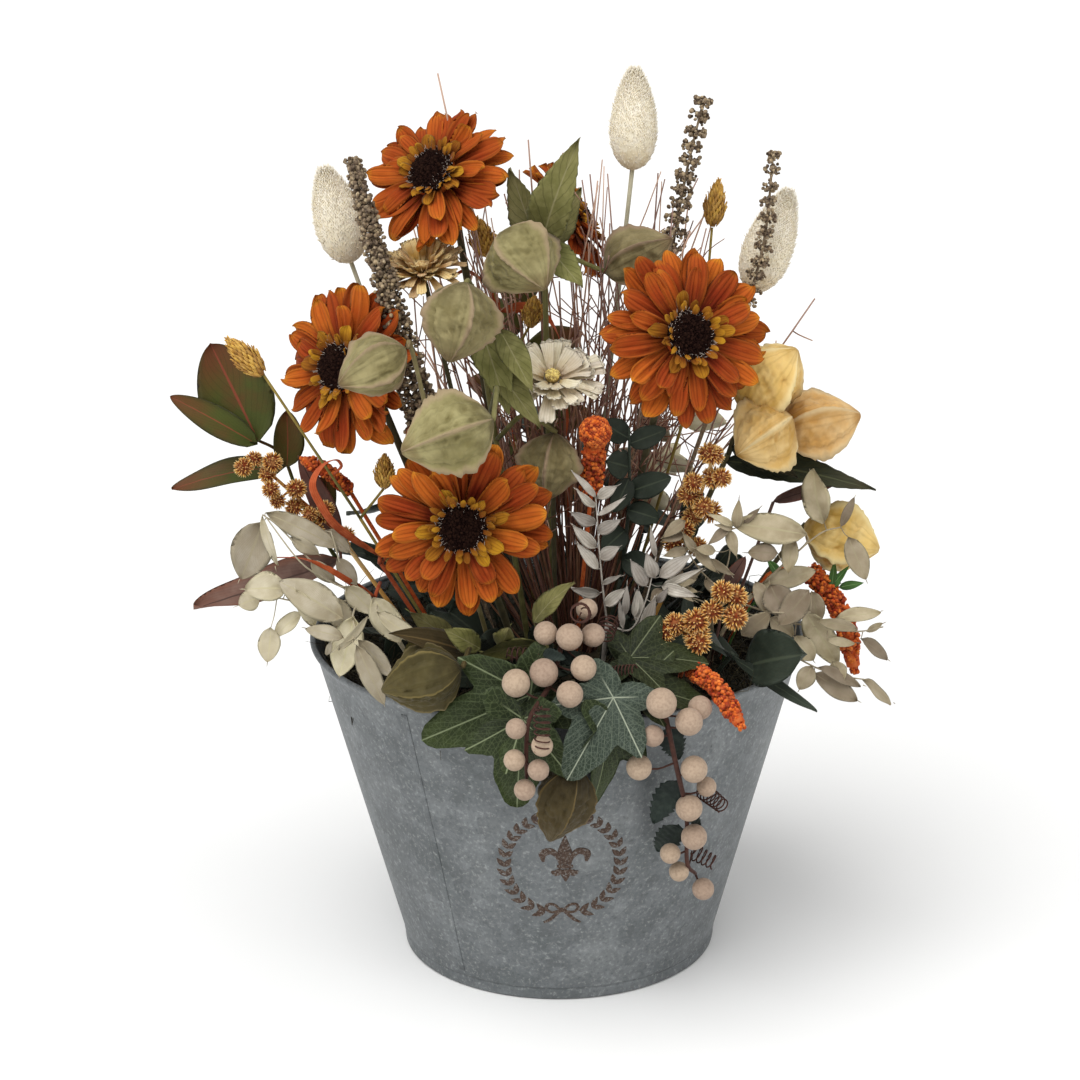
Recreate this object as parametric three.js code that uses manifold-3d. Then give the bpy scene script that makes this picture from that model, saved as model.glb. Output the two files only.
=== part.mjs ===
// A flower arrangement of silk and dried stems in a round zinc pot.
//
// Millimetres, +Z up. The origin is the middle of the pot's flat underside and
// the pot's front faces -Y. A block of foam fills the pot. Every stem stands in
// a plain hole in the foam, and the stems fan out from one focus below it, so
// that no stem crosses another.

import * as THREE from 'three';
import { mergeVertices } from 'three/addons/utils/BufferGeometryUtils.js';
import Module from 'manifold-3d';

const wasm = await Module();
wasm.setup();

// ---------------------------------------------------------------- sizes ----

const POT_HEIGHT = 182.5;
const POT_BASE_RADIUS = 85.9;
const POT_RIM_RADIUS = 135;
const SHEET = 1.1;
const HEM_HEIGHT = 5;
const HEM_BULGE = 1.4;
const BEAD_RADIUS = 1.6;
const POT_SIDES = 32;

const GAP = 0.3;
const FOAM_TOP = 165;
const FOAM_TOP_RADIUS = 111;
const FOAM_BASE_RADIUS = 80;
const HOLE_DEPTH = 22;
const HOLE_CLEARANCE = 0.6;
const STEM_LIFT = 0.5;
const FOCUS = new THREE.Vector3(0, 0, 60);
const MERGE = 2e-4;

const ZINC = { color: '#8b979b', roughness: 0.55, metalness: 0.6 };
const FOAM = { color: '#4c5a3a', roughness: 0.95, metalness: 0 };
const MOSS = { color: '#2f2a22', roughness: 0.95, metalness: 0 };
const RUST_SILK = { color: '#b9541b', roughness: 0.75, metalness: 0 };
const DARK_DISC = { color: '#3a2016', roughness: 0.9, metalness: 0 };
const OLIVE_STEM = { color: '#5d5e38', roughness: 0.7, metalness: 0 };
const SAGE = { color: '#87895c', roughness: 0.8, metalness: 0 };
const OCHRE = { color: '#cfa54c', roughness: 0.75, metalness: 0 };
const CREAM = { color: '#e8dfcb', roughness: 0.85, metalness: 0 };
const SEED_GREY = { color: '#6d6255', roughness: 0.9, metalness: 0 };
const MUSTARD = { color: '#b98430', roughness: 0.85, metalness: 0 };
const PAPER_GOLD = { color: '#c39a4e', roughness: 0.8, metalness: 0 };
const AMARANTH = { color: '#c4592a', roughness: 0.85, metalness: 0 };
const BURR_TAN = { color: '#bf8a4c', roughness: 0.85, metalness: 0 };
const BERRY = { color: '#d9b899', roughness: 0.6, metalness: 0 };
const IVY_GREEN = { color: '#33492e', roughness: 0.6, metalness: 0 };
const GUM_GREEN = { color: '#4d5a38', roughness: 0.65, metalness: 0 };
const BLEACHED = { color: '#d8d0b4', roughness: 0.75, metalness: 0 };
const TWIG_BROWN = { color: '#7c4a34', roughness: 0.8, metalness: 0 };
const CURL_ORANGE = { color: '#a9572b', roughness: 0.8, metalness: 0 };

const group = new THREE.Group();
const holes = [];

// -------------------------------------------------------------- helpers ----

const vec = (p) => new THREE.Vector3(p[0], p[1], p[2]);

/** Repeatable random numbers from 0 to 1. */
function seededRandom(seed) {
  let state = seed;
  return () => {
    state = (state + 0x6d2b79f5) | 0;
    let mixed = Math.imul(state ^ (state >>> 15), 1 | state);
    mixed = (mixed + Math.imul(mixed ^ (mixed >>> 7), 61 | mixed)) ^ mixed;
    return ((mixed ^ (mixed >>> 14)) >>> 0) / 4294967296;
  };
}

/** Position-only copy with shared vertices and no collapsed triangles. */
function weld(geometry) {
  geometry.deleteAttribute('normal');
  geometry.deleteAttribute('uv');
  const merged = mergeVertices(geometry, MERGE);
  const index = merged.index.array;
  const kept = [];
  for (let i = 0; i < index.length; i += 3) {
    const [a, b, c] = [index[i], index[i + 1], index[i + 2]];
    if (a !== b && b !== c && c !== a) kept.push(a, b, c);
  }
  merged.setIndex(kept);
  return merged;
}

/** A closed mesh as a manifold solid. */
function solid(geometry) {
  const closed = weld(geometry);
  return new wasm.Manifold(new wasm.Mesh({
    numProp: 3,
    vertProperties: new Float32Array(closed.attributes.position.array),
    triVerts: new Uint32Array(closed.index.array),
  }));
}

/** Joins the pieces and keeps the largest body, without loose scraps. */
function fuse(geometries) {
  const joined = wasm.Manifold.union(geometries.map(solid));
  const bodies = joined.decompose();
  bodies.sort((a, b) => b.volume() - a.volume());
  return bodies[0];
}

/** Adds one named sub-part to the object. */
function add(name, body, finish) {
  const mesh = body.simplify(0.004).getMesh();
  const geometry = new THREE.BufferGeometry();
  geometry.setAttribute('position', new THREE.BufferAttribute(mesh.vertProperties, 3));
  geometry.setIndex(new THREE.BufferAttribute(mesh.triVerts, 1));
  geometry.computeVertexNormals();
  const part = new THREE.Mesh(geometry, new THREE.MeshStandardMaterial(finish));
  part.name = name;
  group.add(part);
}

/** A right-handed frame whose y runs along `along` and whose z leans to `facing`. */
function frameOf(along, facing) {
  const y = along.clone().normalize();
  const x = y.clone().cross(facing);
  if (x.length() < 1e-3) x.copy(y).cross(new THREE.Vector3(0.3, 1, 0.2));
  x.normalize();
  return { x, y, z: x.clone().cross(y) };
}

/** Moves every vertex by a formula of its x, y, z. */
function deform(geometry, formula) {
  const position = geometry.attributes.position;
  for (let i = 0; i < position.count; i += 1) {
    const moved = formula(position.getX(i), position.getY(i), position.getZ(i));
    position.setXYZ(i, moved.x, moved.y, moved.z);
  }
  return geometry;
}

/** A smooth path through hand-chosen points. */
function pathOf(points) {
  const list = points.map((p) => (p.isVector3 ? p : vec(p)));
  if (list.length === 2) return new THREE.LineCurve3(list[0], list[1]);
  if (list.length === 3) {
    const bend = list[1].clone().multiplyScalar(2)
      .addScaledVector(list[0], -0.5)
      .addScaledVector(list[2], -0.5);
    return new THREE.QuadraticBezierCurve3(list[0], bend, list[2]);
  }
  return new THREE.CatmullRomCurve3(list, false, 'centripetal');
}

/** A round tube along a path. */
function tube(points, radius, sides = 5, steps = 3) {
  const path = pathOf(points);
  const ring = new THREE.Shape();
  for (let k = 0; k < sides; k += 1) {
    const angle = (2 * Math.PI * k) / sides;
    const [x, y] = [radius * Math.cos(angle), radius * Math.sin(angle)];
    if (k === 0) ring.moveTo(x, y);
    else ring.lineTo(x, y);
  }
  ring.closePath();
  return new THREE.ExtrudeGeometry(ring, { steps, extrudePath: path, bevelEnabled: false });
}

/** Where the line from the focus to `head` leaves the foam's top, or a chosen foot. */
function footOf(head, foot) {
  if (foot) return new THREE.Vector3(foot[0], foot[1], FOAM_TOP);
  const reach = (FOAM_TOP - FOCUS.z) / (head.z - FOCUS.z);
  return FOCUS.clone().lerp(head, reach);
}

/** The point at height z on the straight stem that ends at `head`. */
function onStem(head, z) {
  return FOCUS.clone().lerp(head, (z - FOCUS.z) / (head.z - FOCUS.z));
}

/**
 * A stem from its hole in the foam to `head`. Without a `foot` it is straight
 * and follows the line from the focus. With one it bends through `via`.
 */
function stem(head, { foot = null, via = [], radius = 1.3, sides = 5, steps = 4 } = {}) {
  const end = head.isVector3 ? head : vec(head);
  const top = footOf(end, foot);
  const next = via.length > 0 ? vec(via[0]) : end;
  const slope = foot ? next.clone().sub(top) : top.clone().sub(FOCUS);
  slope.normalize();
  if (slope.z < 0.75) slope.set(slope.x, slope.y, 0).setLength(0.66).setZ(0.75);
  slope.normalize();
  const low = top.clone().addScaledVector(slope, -(HOLE_DEPTH - STEM_LIFT) / slope.z);
  holes.push({ top, slope, radius });
  const course = via.length > 0 ? [low, top, ...via.map(vec), end] : [low, end];
  if (foot && via.length === 0) course.splice(1, 0, top);
  const straight = course.length === 2;
  return tube(course, radius, sides, straight ? 1 : steps);
}

/**
 * A thin leaf or petal. Its section is a flat chevron: edges, ridge and keel.
 * `widths` gives its half width in shares at even steps from root to tip.
 */
function blade(root, tip, facing, half, {
  widths = [0, 0.8, 1, 0], arch = 0, fold = 0.15, thick = 0.6,
} = {}) {
  const start = root.isVector3 ? root : vec(root);
  const end = tip.isVector3 ? tip : vec(tip);
  const chord = end.clone().sub(start);
  const length = chord.length();
  const axes = frameOf(chord, facing.isVector3 ? facing : vec(facing));
  const rows = widths.length - 1;
  const shape = new THREE.CylinderGeometry(1, 1, 1, 4, rows);
  return deform(shape, (x, y, z) => {
    const h = y + 0.5;
    const share = widths[Math.round(h * rows)];
    const depth = share === 0 ? 0 : thick;
    const side = x * share * half;
    const lift = 4 * arch * h * (1 - h);
    const rise = z * depth + Math.abs(x) * share * half * fold + lift;
    return start.clone()
      .addScaledVector(axes.x, side)
      .addScaledVector(axes.y, h * length)
      .addScaledVector(axes.z, rise);
  });
}

/**
 * A hollow-looking closed pod from its stem end to its tip. Its radius follows
 * sin(pi t^lean), with `ribs` ridges of height `rib` running from end to end.
 */
function pod(base, tip, radius, {
  ribs = 5, rib = 0.14, lean = 0.8, rows = 5,
} = {}) {
  const start = base.isVector3 ? base : vec(base);
  const axis = (tip.isVector3 ? tip : vec(tip)).clone().sub(start);
  const axes = frameOf(axis, new THREE.Vector3(0.2, -1, 0.3));
  const length = axis.length();
  const globe = new THREE.SphereGeometry(1, 2 * ribs, rows);
  return deform(globe, (x, y, z) => {
    const t = Math.acos(Math.max(-1, Math.min(1, -y))) / Math.PI;
    const around = Math.hypot(x, z);
    const angle = Math.atan2(z, x);
    const wave = 1 + rib * Math.cos(ribs * angle);
    const swell = around < 1e-6 ? 0 : radius * Math.sin(Math.PI * t ** lean) ** 0.85 * wave;
    return start.clone()
      .addScaledVector(axes.y, t * length)
      .addScaledVector(axes.x, swell * Math.cos(angle))
      .addScaledVector(axes.z, swell * Math.sin(angle));
  });
}

/** A small ball with twenty faces. */
function ball(centre, radius) {
  return new THREE.IcosahedronGeometry(radius, 0).translate(centre.x, centre.y, centre.z);
}

/** A burr: an octahedron whose six corners stand out as spikes. */
function burr(centre, radius, turn) {
  const star = new THREE.OctahedronGeometry(1.2 * radius, 0);
  star.rotateX(turn);
  star.rotateY(0.6 * turn);
  return star.translate(centre.x, centre.y, centre.z);
}

/** A tapering spike with a knobbly skin: rings step in and out along the path. */
function knobbly(points, thickness, rows, sides = 6) {
  const path = pathOf(points);
  const rod = new THREE.CylinderGeometry(1, 1, 1, sides, rows);
  return deform(rod, (x, y, z) => {
    const h = y + 0.5;
    const row = Math.round(h * rows);
    const here = path.getPoint(h);
    const axes = frameOf(path.getTangent(h), new THREE.Vector3(0.1, -1, 0.05));
    const knob = row % 2 === 0 ? 0.72 : 1.12;
    const taper = h < 0.02 || h > 0.98 ? 0.4 : 1;
    const angle = Math.atan2(z, x) + (row % 2) * (Math.PI / sides);
    const r = Math.hypot(x, z) < 1e-6 ? 0 : thickness * knob * taper;
    return here
      .addScaledVector(axes.x, r * Math.cos(angle))
      .addScaledVector(axes.z, r * Math.sin(angle));
  });
}

// ------------------------------------------------------- pot and filling ----

/** Outer radius of the pot's wall at height z. */
function wallRadius(z) {
  return POT_BASE_RADIUS + ((POT_RIM_RADIUS - POT_BASE_RADIUS) * z) / POT_HEIGHT;
}

/** A body turned round the Z axis from a closed profile of [radius, height]. */
function turned(profile, sides) {
  const points = [...profile, profile[0]].map(([r, z]) => new THREE.Vector2(r, z));
  return new THREE.LatheGeometry(points, sides).rotateX(Math.PI / 2);
}

/** Conical sheet-metal wall with a rolled bead at the rim and a hem at the foot. */
function potWall() {
  const hem = POT_BASE_RADIUS + HEM_BULGE;
  const lip = POT_BASE_RADIUS - 7;
  const rim = wallRadius(POT_HEIGHT);
  const top = POT_HEIGHT - BEAD_RADIUS;
  return turned([
    [POT_BASE_RADIUS - SHEET, 0],
    [hem, 0],
    [hem + 0.2, HEM_HEIGHT],
    [wallRadius(HEM_HEIGHT + 1), HEM_HEIGHT + 1],
    [wallRadius(top - BEAD_RADIUS), top - BEAD_RADIUS],
    [rim + BEAD_RADIUS, top],
    [rim, POT_HEIGHT],
    [rim - BEAD_RADIUS, top],
    [wallRadius(top - 2 * BEAD_RADIUS) - SHEET, top - 2 * BEAD_RADIUS],
    [wallRadius(3) - SHEET, 3],
    [lip, 3],
    [lip, 1.8],
    [POT_BASE_RADIUS - SHEET, 1.8],
  ], POT_SIDES);
}

/** Flat sheet bottom, held under the wall's turned-in lip. */
function potBottom() {
  const r = POT_BASE_RADIUS - SHEET - 1;
  return turned([[0, 0], [r, 0], [r, 1.5], [0, 1.5]], POT_SIDES);
}

/** Dark moss wedged between the foam and the pot's wall, with an uneven top. */
function mossRing() {
  const inner = FOAM_TOP_RADIUS + 1;
  const ring = turned([
    [inner, 146],
    [wallRadius(146) - 4, 146],
    [wallRadius(168) - 4, 168],
    [0.5 * (inner + wallRadius(168)), 172],
    [inner, 166],
  ], 24);
  return deform(ring, (x, y, z) => {
    const angle = Math.atan2(y, x);
    const bump = z > 160 ? 2.2 * Math.sin(5 * angle) + 1.6 * Math.sin(11 * angle + 1) : 0;
    return new THREE.Vector3(x, y, z + bump);
  });
}

/** The foam block, with one plain hole for each stem. */
function foamBlock() {
  const profile = [[0, 3.4], [FOAM_BASE_RADIUS, 3.4], [FOAM_TOP_RADIUS, FOAM_TOP], [0, FOAM_TOP]];
  const cuts = holes.map(({ top, slope, radius }) => {
    const length = (HOLE_DEPTH + 8) / slope.z;
    const drill = new THREE.CylinderGeometry(1, 1, 1, 4, 1);
    const axes = frameOf(slope, new THREE.Vector3(0, -1, 0));
    const corner = (radius + HOLE_CLEARANCE) * Math.SQRT2;
    return solid(deform(drill, (x, y, z) => top.clone()
      .addScaledVector(axes.y, (y + 0.5) * length - HOLE_DEPTH / slope.z)
      .addScaledVector(axes.x, x * corner)
      .addScaledVector(axes.z, z * corner)));
  });
  return solid(turned(profile, 24)).subtract(wasm.Manifold.union(cuts));
}

// ------------------------------------------------------------- gerberas ----

const GERBERAS = [
  {
    name: 'gerbera_front', at: [-48, -116, 279], facing: [0, -1, 0.1], radius: 46, seed: 1,
    via: [-26, -62, 205],
  },
  { name: 'gerbera_top_left', at: [-65, -15, 442], facing: [-0.45, -0.65, 0.6], radius: 42, seed: 2 },
  { name: 'gerbera_left', at: [-114, -55, 347], facing: [-0.65, -0.72, 0.25], radius: 46, seed: 3 },
  { name: 'gerbera_right', at: [69, -70, 367], facing: [0.35, -0.85, 0.3], radius: 46, seed: 4 },
  { name: 'gerbera_back', at: [14, 36, 408], facing: [0.85, 0.1, 0.45], radius: 37, seed: 5 },
];
const PETALS_PER_LAYER = 8;
const HUB_RADIUS = 13;
const FLORETS = 8;

/** Two layers of narrow petals, the back one flatter, sunk into a hub. */
function gerberaPetals({ at, facing, radius, seed }) {
  const random = seededRandom(seed);
  const centre = vec(at);
  const axes = frameOf(new THREE.Vector3(0, 0, 1), vec(facing).normalize());
  const normal = vec(facing).normalize();
  const up = normal.clone().cross(axes.x).normalize();
  const side = up.clone().cross(normal).normalize();
  const around = (angle) => side.clone().multiplyScalar(Math.cos(angle))
    .addScaledVector(up, Math.sin(angle));
  const hub = new THREE.CylinderGeometry(HUB_RADIUS, HUB_RADIUS, 7, PETALS_PER_LAYER, 1);
  const hubAxes = frameOf(normal, side);
  const pieces = [deform(hub, (x, y, z) => centre.clone()
    .addScaledVector(normal, y - 6.5)
    .addScaledVector(hubAxes.x, x)
    .addScaledVector(hubAxes.z, z))];
  for (let layer = 0; layer < 2; layer += 1) {
    for (let k = 0; k < PETALS_PER_LAYER; k += 1) {
      const angle = (2 * Math.PI * (k + 0.5 * layer)) / PETALS_PER_LAYER + 0.12 * (random() - 0.5);
      const out = around(angle);
      const reach = radius * (layer === 0 ? 1 : 0.84) * (0.93 + 0.12 * random());
      const lift = (layer === 0 ? -7.5 : 0.5) + 3 * (random() - 0.5);
      const root = centre.clone().addScaledVector(out, HUB_RADIUS - 3)
        .addScaledVector(normal, layer === 0 ? -8 : -6.2);
      const tip = centre.clone().addScaledVector(out, reach).addScaledVector(normal, lift);
      pieces.push(blade(root, tip, normal, layer === 0 ? 6.6 : 5.4, {
        widths: [0.36, 0.85, 1, 0], arch: 2.5, fold: 0.22, thick: 0.65,
      }));
    }
  }
  return fuse(pieces);
}

/** Domed dark disc that widens below into a star of short pointed florets. */
function gerberaHeart({ at, facing }) {
  const normal = vec(facing).normalize();
  const axes = frameOf(normal, new THREE.Vector3(0.2, -0.3, 1));
  const centre = vec(at).addScaledVector(normal, -3 + GAP);
  const rings = [
    { outer: 11.5, inner: 11.5, height: 0.3, lift: 0 },
    { outer: 20, inner: 14, height: 0.3, lift: 10 },
    { outer: 21, inner: 14, height: 2.4, lift: 9.5 },
    { outer: 12.4, inner: 11.8, height: 3.2, lift: 0 },
    { outer: 8.3, inner: 7.8, height: 5.6, lift: 0 },
  ];
  const drum = new THREE.CylinderGeometry(1, 1, 1, 2 * FLORETS, rings.length - 1);
  return solid(deform(drum, (x, y, z) => {
    const ring = rings[Math.round((y + 0.5) * (rings.length - 1))];
    const angle = Math.atan2(z, x);
    const point = Math.cos(FLORETS * angle) > 0;
    const reach = Math.hypot(x, z) * (point ? ring.outer : ring.inner);
    const middle = reach < 1;
    const height = ring.height + (middle ? 0.6 : 0) + (point && !middle ? ring.lift : 0);
    return centre.clone()
      .addScaledVector(normal, height)
      .addScaledVector(axes.x, reach * Math.cos(angle))
      .addScaledVector(axes.z, reach * Math.sin(angle));
  }));
}

/** Stem with a green cup that carries the head from behind. */
function gerberaStem({ at, facing, via }) {
  const normal = vec(facing).normalize();
  const back = vec(at).addScaledVector(normal, -10 - GAP);
  const axes = frameOf(normal, new THREE.Vector3(0.2, -0.3, 1));
  const cup = new THREE.CylinderGeometry(7.5, 2.2, 9, 7, 1);
  deform(cup, (x, y, z) => back.clone()
    .addScaledVector(normal, y - 4.5)
    .addScaledVector(axes.x, x)
    .addScaledVector(axes.z, z));
  const end = back.clone().addScaledVector(normal, -6);
  const neck = back.clone().addScaledVector(normal, -16);
  const foot = footOf(neck);
  const middle = via ? vec(via) : foot.clone().lerp(neck, 0.62);
  const course = { foot: [foot.x, foot.y], via: [middle.toArray(), neck.toArray()], radius: 2, steps: 6 };
  return fuse([cup, stem(end, course)]);
}

for (const flower of GERBERAS) {
  add(`${flower.name}_petals`, gerberaPetals(flower), RUST_SILK);
  add(`${flower.name}_heart`, gerberaHeart(flower), DARK_DISC);
  add(`${flower.name}_stem`, gerberaStem(flower), OLIVE_STEM);
}

// ------------------------------------------------------ physalis sprays ----

const LEAF = [0, 0.8, 1, 0.6, 0];

/** Two lanterns and three leaves at the top of one stem. */
function physalisTop() {
  const crown = new THREE.Vector3(-6, -30, 408);
  return fuse([
    stem(crown, { radius: 1.6 }),
    tube([[-6, -30, 407], [-18, -38, 418], [-25, -46, 414]], 1.1, 4, 3),
    pod([-27, -47, 416], [-5, -66, 390], 19),
    tube([[-6, -30, 407], [10, -25, 396], [28, -22, 387]], 1.1, 4, 3),
    pod([26, -22, 388], [61, -24, 407], 15),
    blade([-7, -31, 406], [11, -48, 463], [0.2, -1, 0.1], 11, { widths: LEAF, arch: 4 }),
    blade([-8, -30, 404], [-23, -28, 442], [0, -1, 0.2], 9, { widths: LEAF, arch: -3 }),
    blade([-5, -31, 406], [12, -50, 388], [0.5, -0.8, 0.4], 8, { widths: LEAF, arch: 3 }),
  ]);
}

/** Three lanterns and two leaves along the middle stem. */
function physalisMiddle() {
  const crown = new THREE.Vector3(-43, -62, 392);
  const [high, low] = [onStem(crown, 322), onStem(crown, 306)];
  return fuse([
    stem(crown, { radius: 1.6 }),
    tube([[-43, -62, 391], [-42, -74, 400], [-46, -84, 397]], 1.1, 4, 3),
    pod([-45, -85, 399], [-54, -93, 359], 19),
    tube([high, [-30, -92, 346], [-33, -132, 341]], 1.1, 4, 3),
    pod([-31, -132, 341], [-77, -139, 326], 19),
    tube([low, [-16, -58, 322], [-1, -58, 308]], 1.1, 4, 3),
    pod([-1, -58, 312], [-6, -62, 276], 15.5),
    blade(onStem(crown, 376), [-24, -80, 334], [0.5, -0.8, 0.3], 9, { widths: LEAF, arch: 4 }),
  ]);
}

/** A pale lantern in front of the left flower. */
function physalisLeft() {
  return fuse([
    stem([-72, -88, 362], { radius: 1.4, foot: [-30, -46], via: [[-56, -72, 280]], steps: 6 }),
    pod([-75, -98, 368], [-109, -108, 352], 14.5, { rib: 0.1 }),
    tube([[-72, -88, 361], [-70, -96, 368], [-77, -98, 368]], 1.2, 4, 3),
  ]);
}

/** A lantern lying over the rim on its reddish stem. */
function physalisRim() {
  return fuse([
    stem([-49, -131, 210], { foot: [-38, -62], via: [[-44, -98, 208]], radius: 1.6, steps: 6 }),
    pod([-49, -131, 210], [-90, -133, 198], 16, { rib: 0.1 }),
  ]);
}

/** A lantern hanging outside the rim under the ivy. */
function physalisLow() {
  return fuse([
    stem([9, -142, 154], { foot: [6, -60], via: [[8, -104, 191], [9, -139, 185]], radius: 1.3, steps: 8 }),
    pod([9, -142, 160], [-5, -140, 117], 14, { rib: 0.1 }),
  ]);
}

add('physalis_top', physalisTop(), SAGE);
add('physalis_middle', physalisMiddle(), SAGE);
add('physalis_left', physalisLeft(), SAGE);
add('physalis_rim', physalisRim(), SAGE);
add('physalis_low', physalisLow(), SAGE);

// ---------------------------------------------------------- yellow pods ----

const FOUR_SIDED = { ribs: 4, rib: 0.12, lean: 0.9, rows: 5 };

const TRIO_KNOT = [106, -24, 308];

/** Three pods on short stalks from one knot. */
function yellowPodTrio() {
  const pods = [
    { base: [98, -22, 316], tip: [126, -26, 346], radius: 18 },
    { base: [117, -20, 300], tip: [161, -13, 308], radius: 15 },
    { base: [123, -34, 312], tip: [96, -50, 298], radius: 16 },
  ];
  return fuse(pods.flatMap(({ base, tip, radius }) => [
    pod(base, tip, radius, FOUR_SIDED),
    tube([TRIO_KNOT, vec(base).lerp(vec(tip), 0.15)], 1.3, 4, 1),
  ]));
}

/** Pale green stem that carries the trio, and a long dark leaf. */
function yellowSpray() {
  const fork = new THREE.Vector3(92, -12, 286);
  return fuse([
    stem(fork, { radius: 1.6 }),
    tube([[92, -12, 285], [96, -14, 297], [104.7, -23.3, 307]], 1.4, 4, 2),
    blade([90, -12, 282], [170, -30, 273], [0.1, -0.5, 1], 9, { widths: LEAF, arch: 5 }),
  ]);
}

/** A single pod low on the right, with its own stem. */
function yellowPodLow() {
  return fuse([
    stem([136, -6, 246], { foot: [84, -2], via: [[112, -5, 212]], radius: 1.6, steps: 6 }),
    pod([134, -6, 244], [175, -15, 232], 17, FOUR_SIDED),
  ]);
}

add('yellow_pods_trio', yellowPodTrio(), OCHRE);
add('yellow_pods_spray', yellowSpray(), GUM_GREEN);
add('yellow_pod_low', yellowPodLow(), OCHRE);

// ---------------------------------------------- tails, spikes and grasses ----

const BUNNY_TAILS = [
  { name: 'bunny_tail_left', base: [-109, 8, 388], tip: [-122, 3, 442], radius: 14 },
  { name: 'bunny_tail_middle', base: [41, 12, 436], tip: [42, 12, 492], radius: 13 },
  { name: 'bunny_tail_right', base: [106, 20, 368], tip: [125, 15, 426], radius: 14 },
];

/** An oval velvety head on a thin stem. */
function bunnyTail({ base, tip, radius }) {
  return fuse([
    stem(vec(base).lerp(vec(tip), 0.15), { radius: 1.1, sides: 4 }),
    pod(base, tip, radius, { ribs: 4, rib: 0, lean: 0.9, rows: 6 }),
  ]);
}

for (const tail of BUNNY_TAILS) add(tail.name, bunnyTail(tail), CREAM);

const SEED_SPIKES = [
  {
    name: 'seed_spike_left', low: [-70, -56, 324], mid: [-87, -50, 387], top: [-104, -30, 450],
    rows: 18, size: 6.4,
  },
  {
    name: 'seed_spike_middle', low: [62, 4, 396], mid: [69, 7, 434], top: [78, 10, 473],
    rows: 12, size: 4.8,
  },
  {
    name: 'seed_spike_right', low: [100, -10, 362], mid: [110, -6, 402], top: [114, -4, 447],
    rows: 12, size: 4.2,
  },
];

/** A spike of small seeds, raised as knobs that step in and out. */
function seedSpike({ low, mid, top, rows, size }) {
  const start = pathOf([low, mid, top]).getPoint(0.03);
  return fuse([
    stem(start, { radius: 1.1, sides: 4 }),
    knobbly([low, mid, top], size, rows, 6),
  ]);
}

for (const spike of SEED_SPIKES) add(spike.name, seedSpike(spike), SEED_GREY);

/** Thin branching stems, each ending in an oval head. */
function canarySpray(fork, heads, foot) {
  const pieces = [stem(fork, { radius: 1.1, sides: 4, foot })];
  for (const { base, tip, radius } of heads) {
    const bend = vec(fork).lerp(vec(base), 0.5).add(new THREE.Vector3(0, 0, -3));
    const inside = vec(base).lerp(vec(tip), 0.2);
    pieces.push(tube([fork, bend, inside], 0.8, 4, 3));
    pieces.push(pod(base, tip, radius, { ribs: 3, rib: 0.1, lean: 0.9, rows: 4 }));
  }
  return fuse(pieces);
}

add('canary_grass_right', canarySpray([78, 12, 330], [
  { base: [84, 24, 402], tip: [87, 24, 426], radius: 6 },
  { base: [88, 2, 362], tip: [86, 0, 380], radius: 5.5 },
], null), MUSTARD);
add('canary_grass_left', canarySpray([-104, -46, 262], [
  { base: [-150, -66, 346], tip: [-167, -66, 364], radius: 6.5 },
  { base: [-91, -48, 279], tip: [-90, -50, 297], radius: 5.5 },
], null), MUSTARD);
add('canary_grass_middle', canarySpray([-26, 8, 330], [
  { base: [-36, 18, 388], tip: [-42, 18, 408], radius: 7 },
  { base: [-14, -6, 356], tip: [-11, -20, 374], radius: 5.5 },
], null), MUSTARD);

// -------------------------------------------------------------- daisies ----

/** A ring of narrow papery petals over a cone, on its own stem. */
function daisy({ at, facing, radius, cup, petals, seed }) {
  const random = seededRandom(seed);
  const normal = vec(facing).normalize();
  const axes = frameOf(normal, new THREE.Vector3(0.2, -1, 0.1));
  const centre = vec(at);
  const cone = new THREE.CylinderGeometry(cup, 2, 11, 7, 1);
  deform(cone, (x, y, z) => centre.clone()
    .addScaledVector(normal, y - 5.5)
    .addScaledVector(axes.x, x)
    .addScaledVector(axes.z, z));
  const end = centre.clone().addScaledVector(normal, -8);
  const pieces = [cone, stem(end, { radius: 1.3, sides: 4 })];
  for (let layer = 0; layer < 2; layer += 1) {
    for (let k = 0; k < petals; k += 1) {
      const angle = (2 * Math.PI * (k + 0.5 * layer)) / petals + 0.1 * (random() - 0.5);
      const out = axes.x.clone().multiplyScalar(Math.cos(angle)).addScaledVector(axes.z, Math.sin(angle));
      const reach = radius * (layer === 0 ? 1 : 0.75) * (0.92 + 0.14 * random());
      const root = centre.clone().addScaledVector(out, cup - 3.5)
        .addScaledVector(normal, layer === 0 ? -2.6 : -1.4);
      const tip = centre.clone().addScaledVector(out, reach).addScaledVector(normal, layer === 0 ? 4 : 9);
      pieces.push(blade(root, tip, normal, 4.6, { widths: [0.5, 1, 0], fold: 0.15 }));
    }
  }
  return fuse(pieces);
}

add('daisy_cream', daisy({
  at: [-2, -54, 340], facing: [0.05, -0.55, 0.83], radius: 26, cup: 9, petals: 6, seed: 21,
}), CREAM);
const creamHeart = pod([-2, -54.2, 340.4], [-1.5, -58.6, 347], 6.5, { ribs: 4, rib: 0, rows: 4 });
add('daisy_cream_heart', solid(creamHeart), PAPER_GOLD);
add('daisy_beige', daisy({
  at: [-69, -32, 393], facing: [-0.15, -0.35, 0.92], radius: 23, cup: 9, petals: 6, seed: 22,
}), PAPER_GOLD);

// ------------------------------------------------------------- amaranth ----

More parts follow.
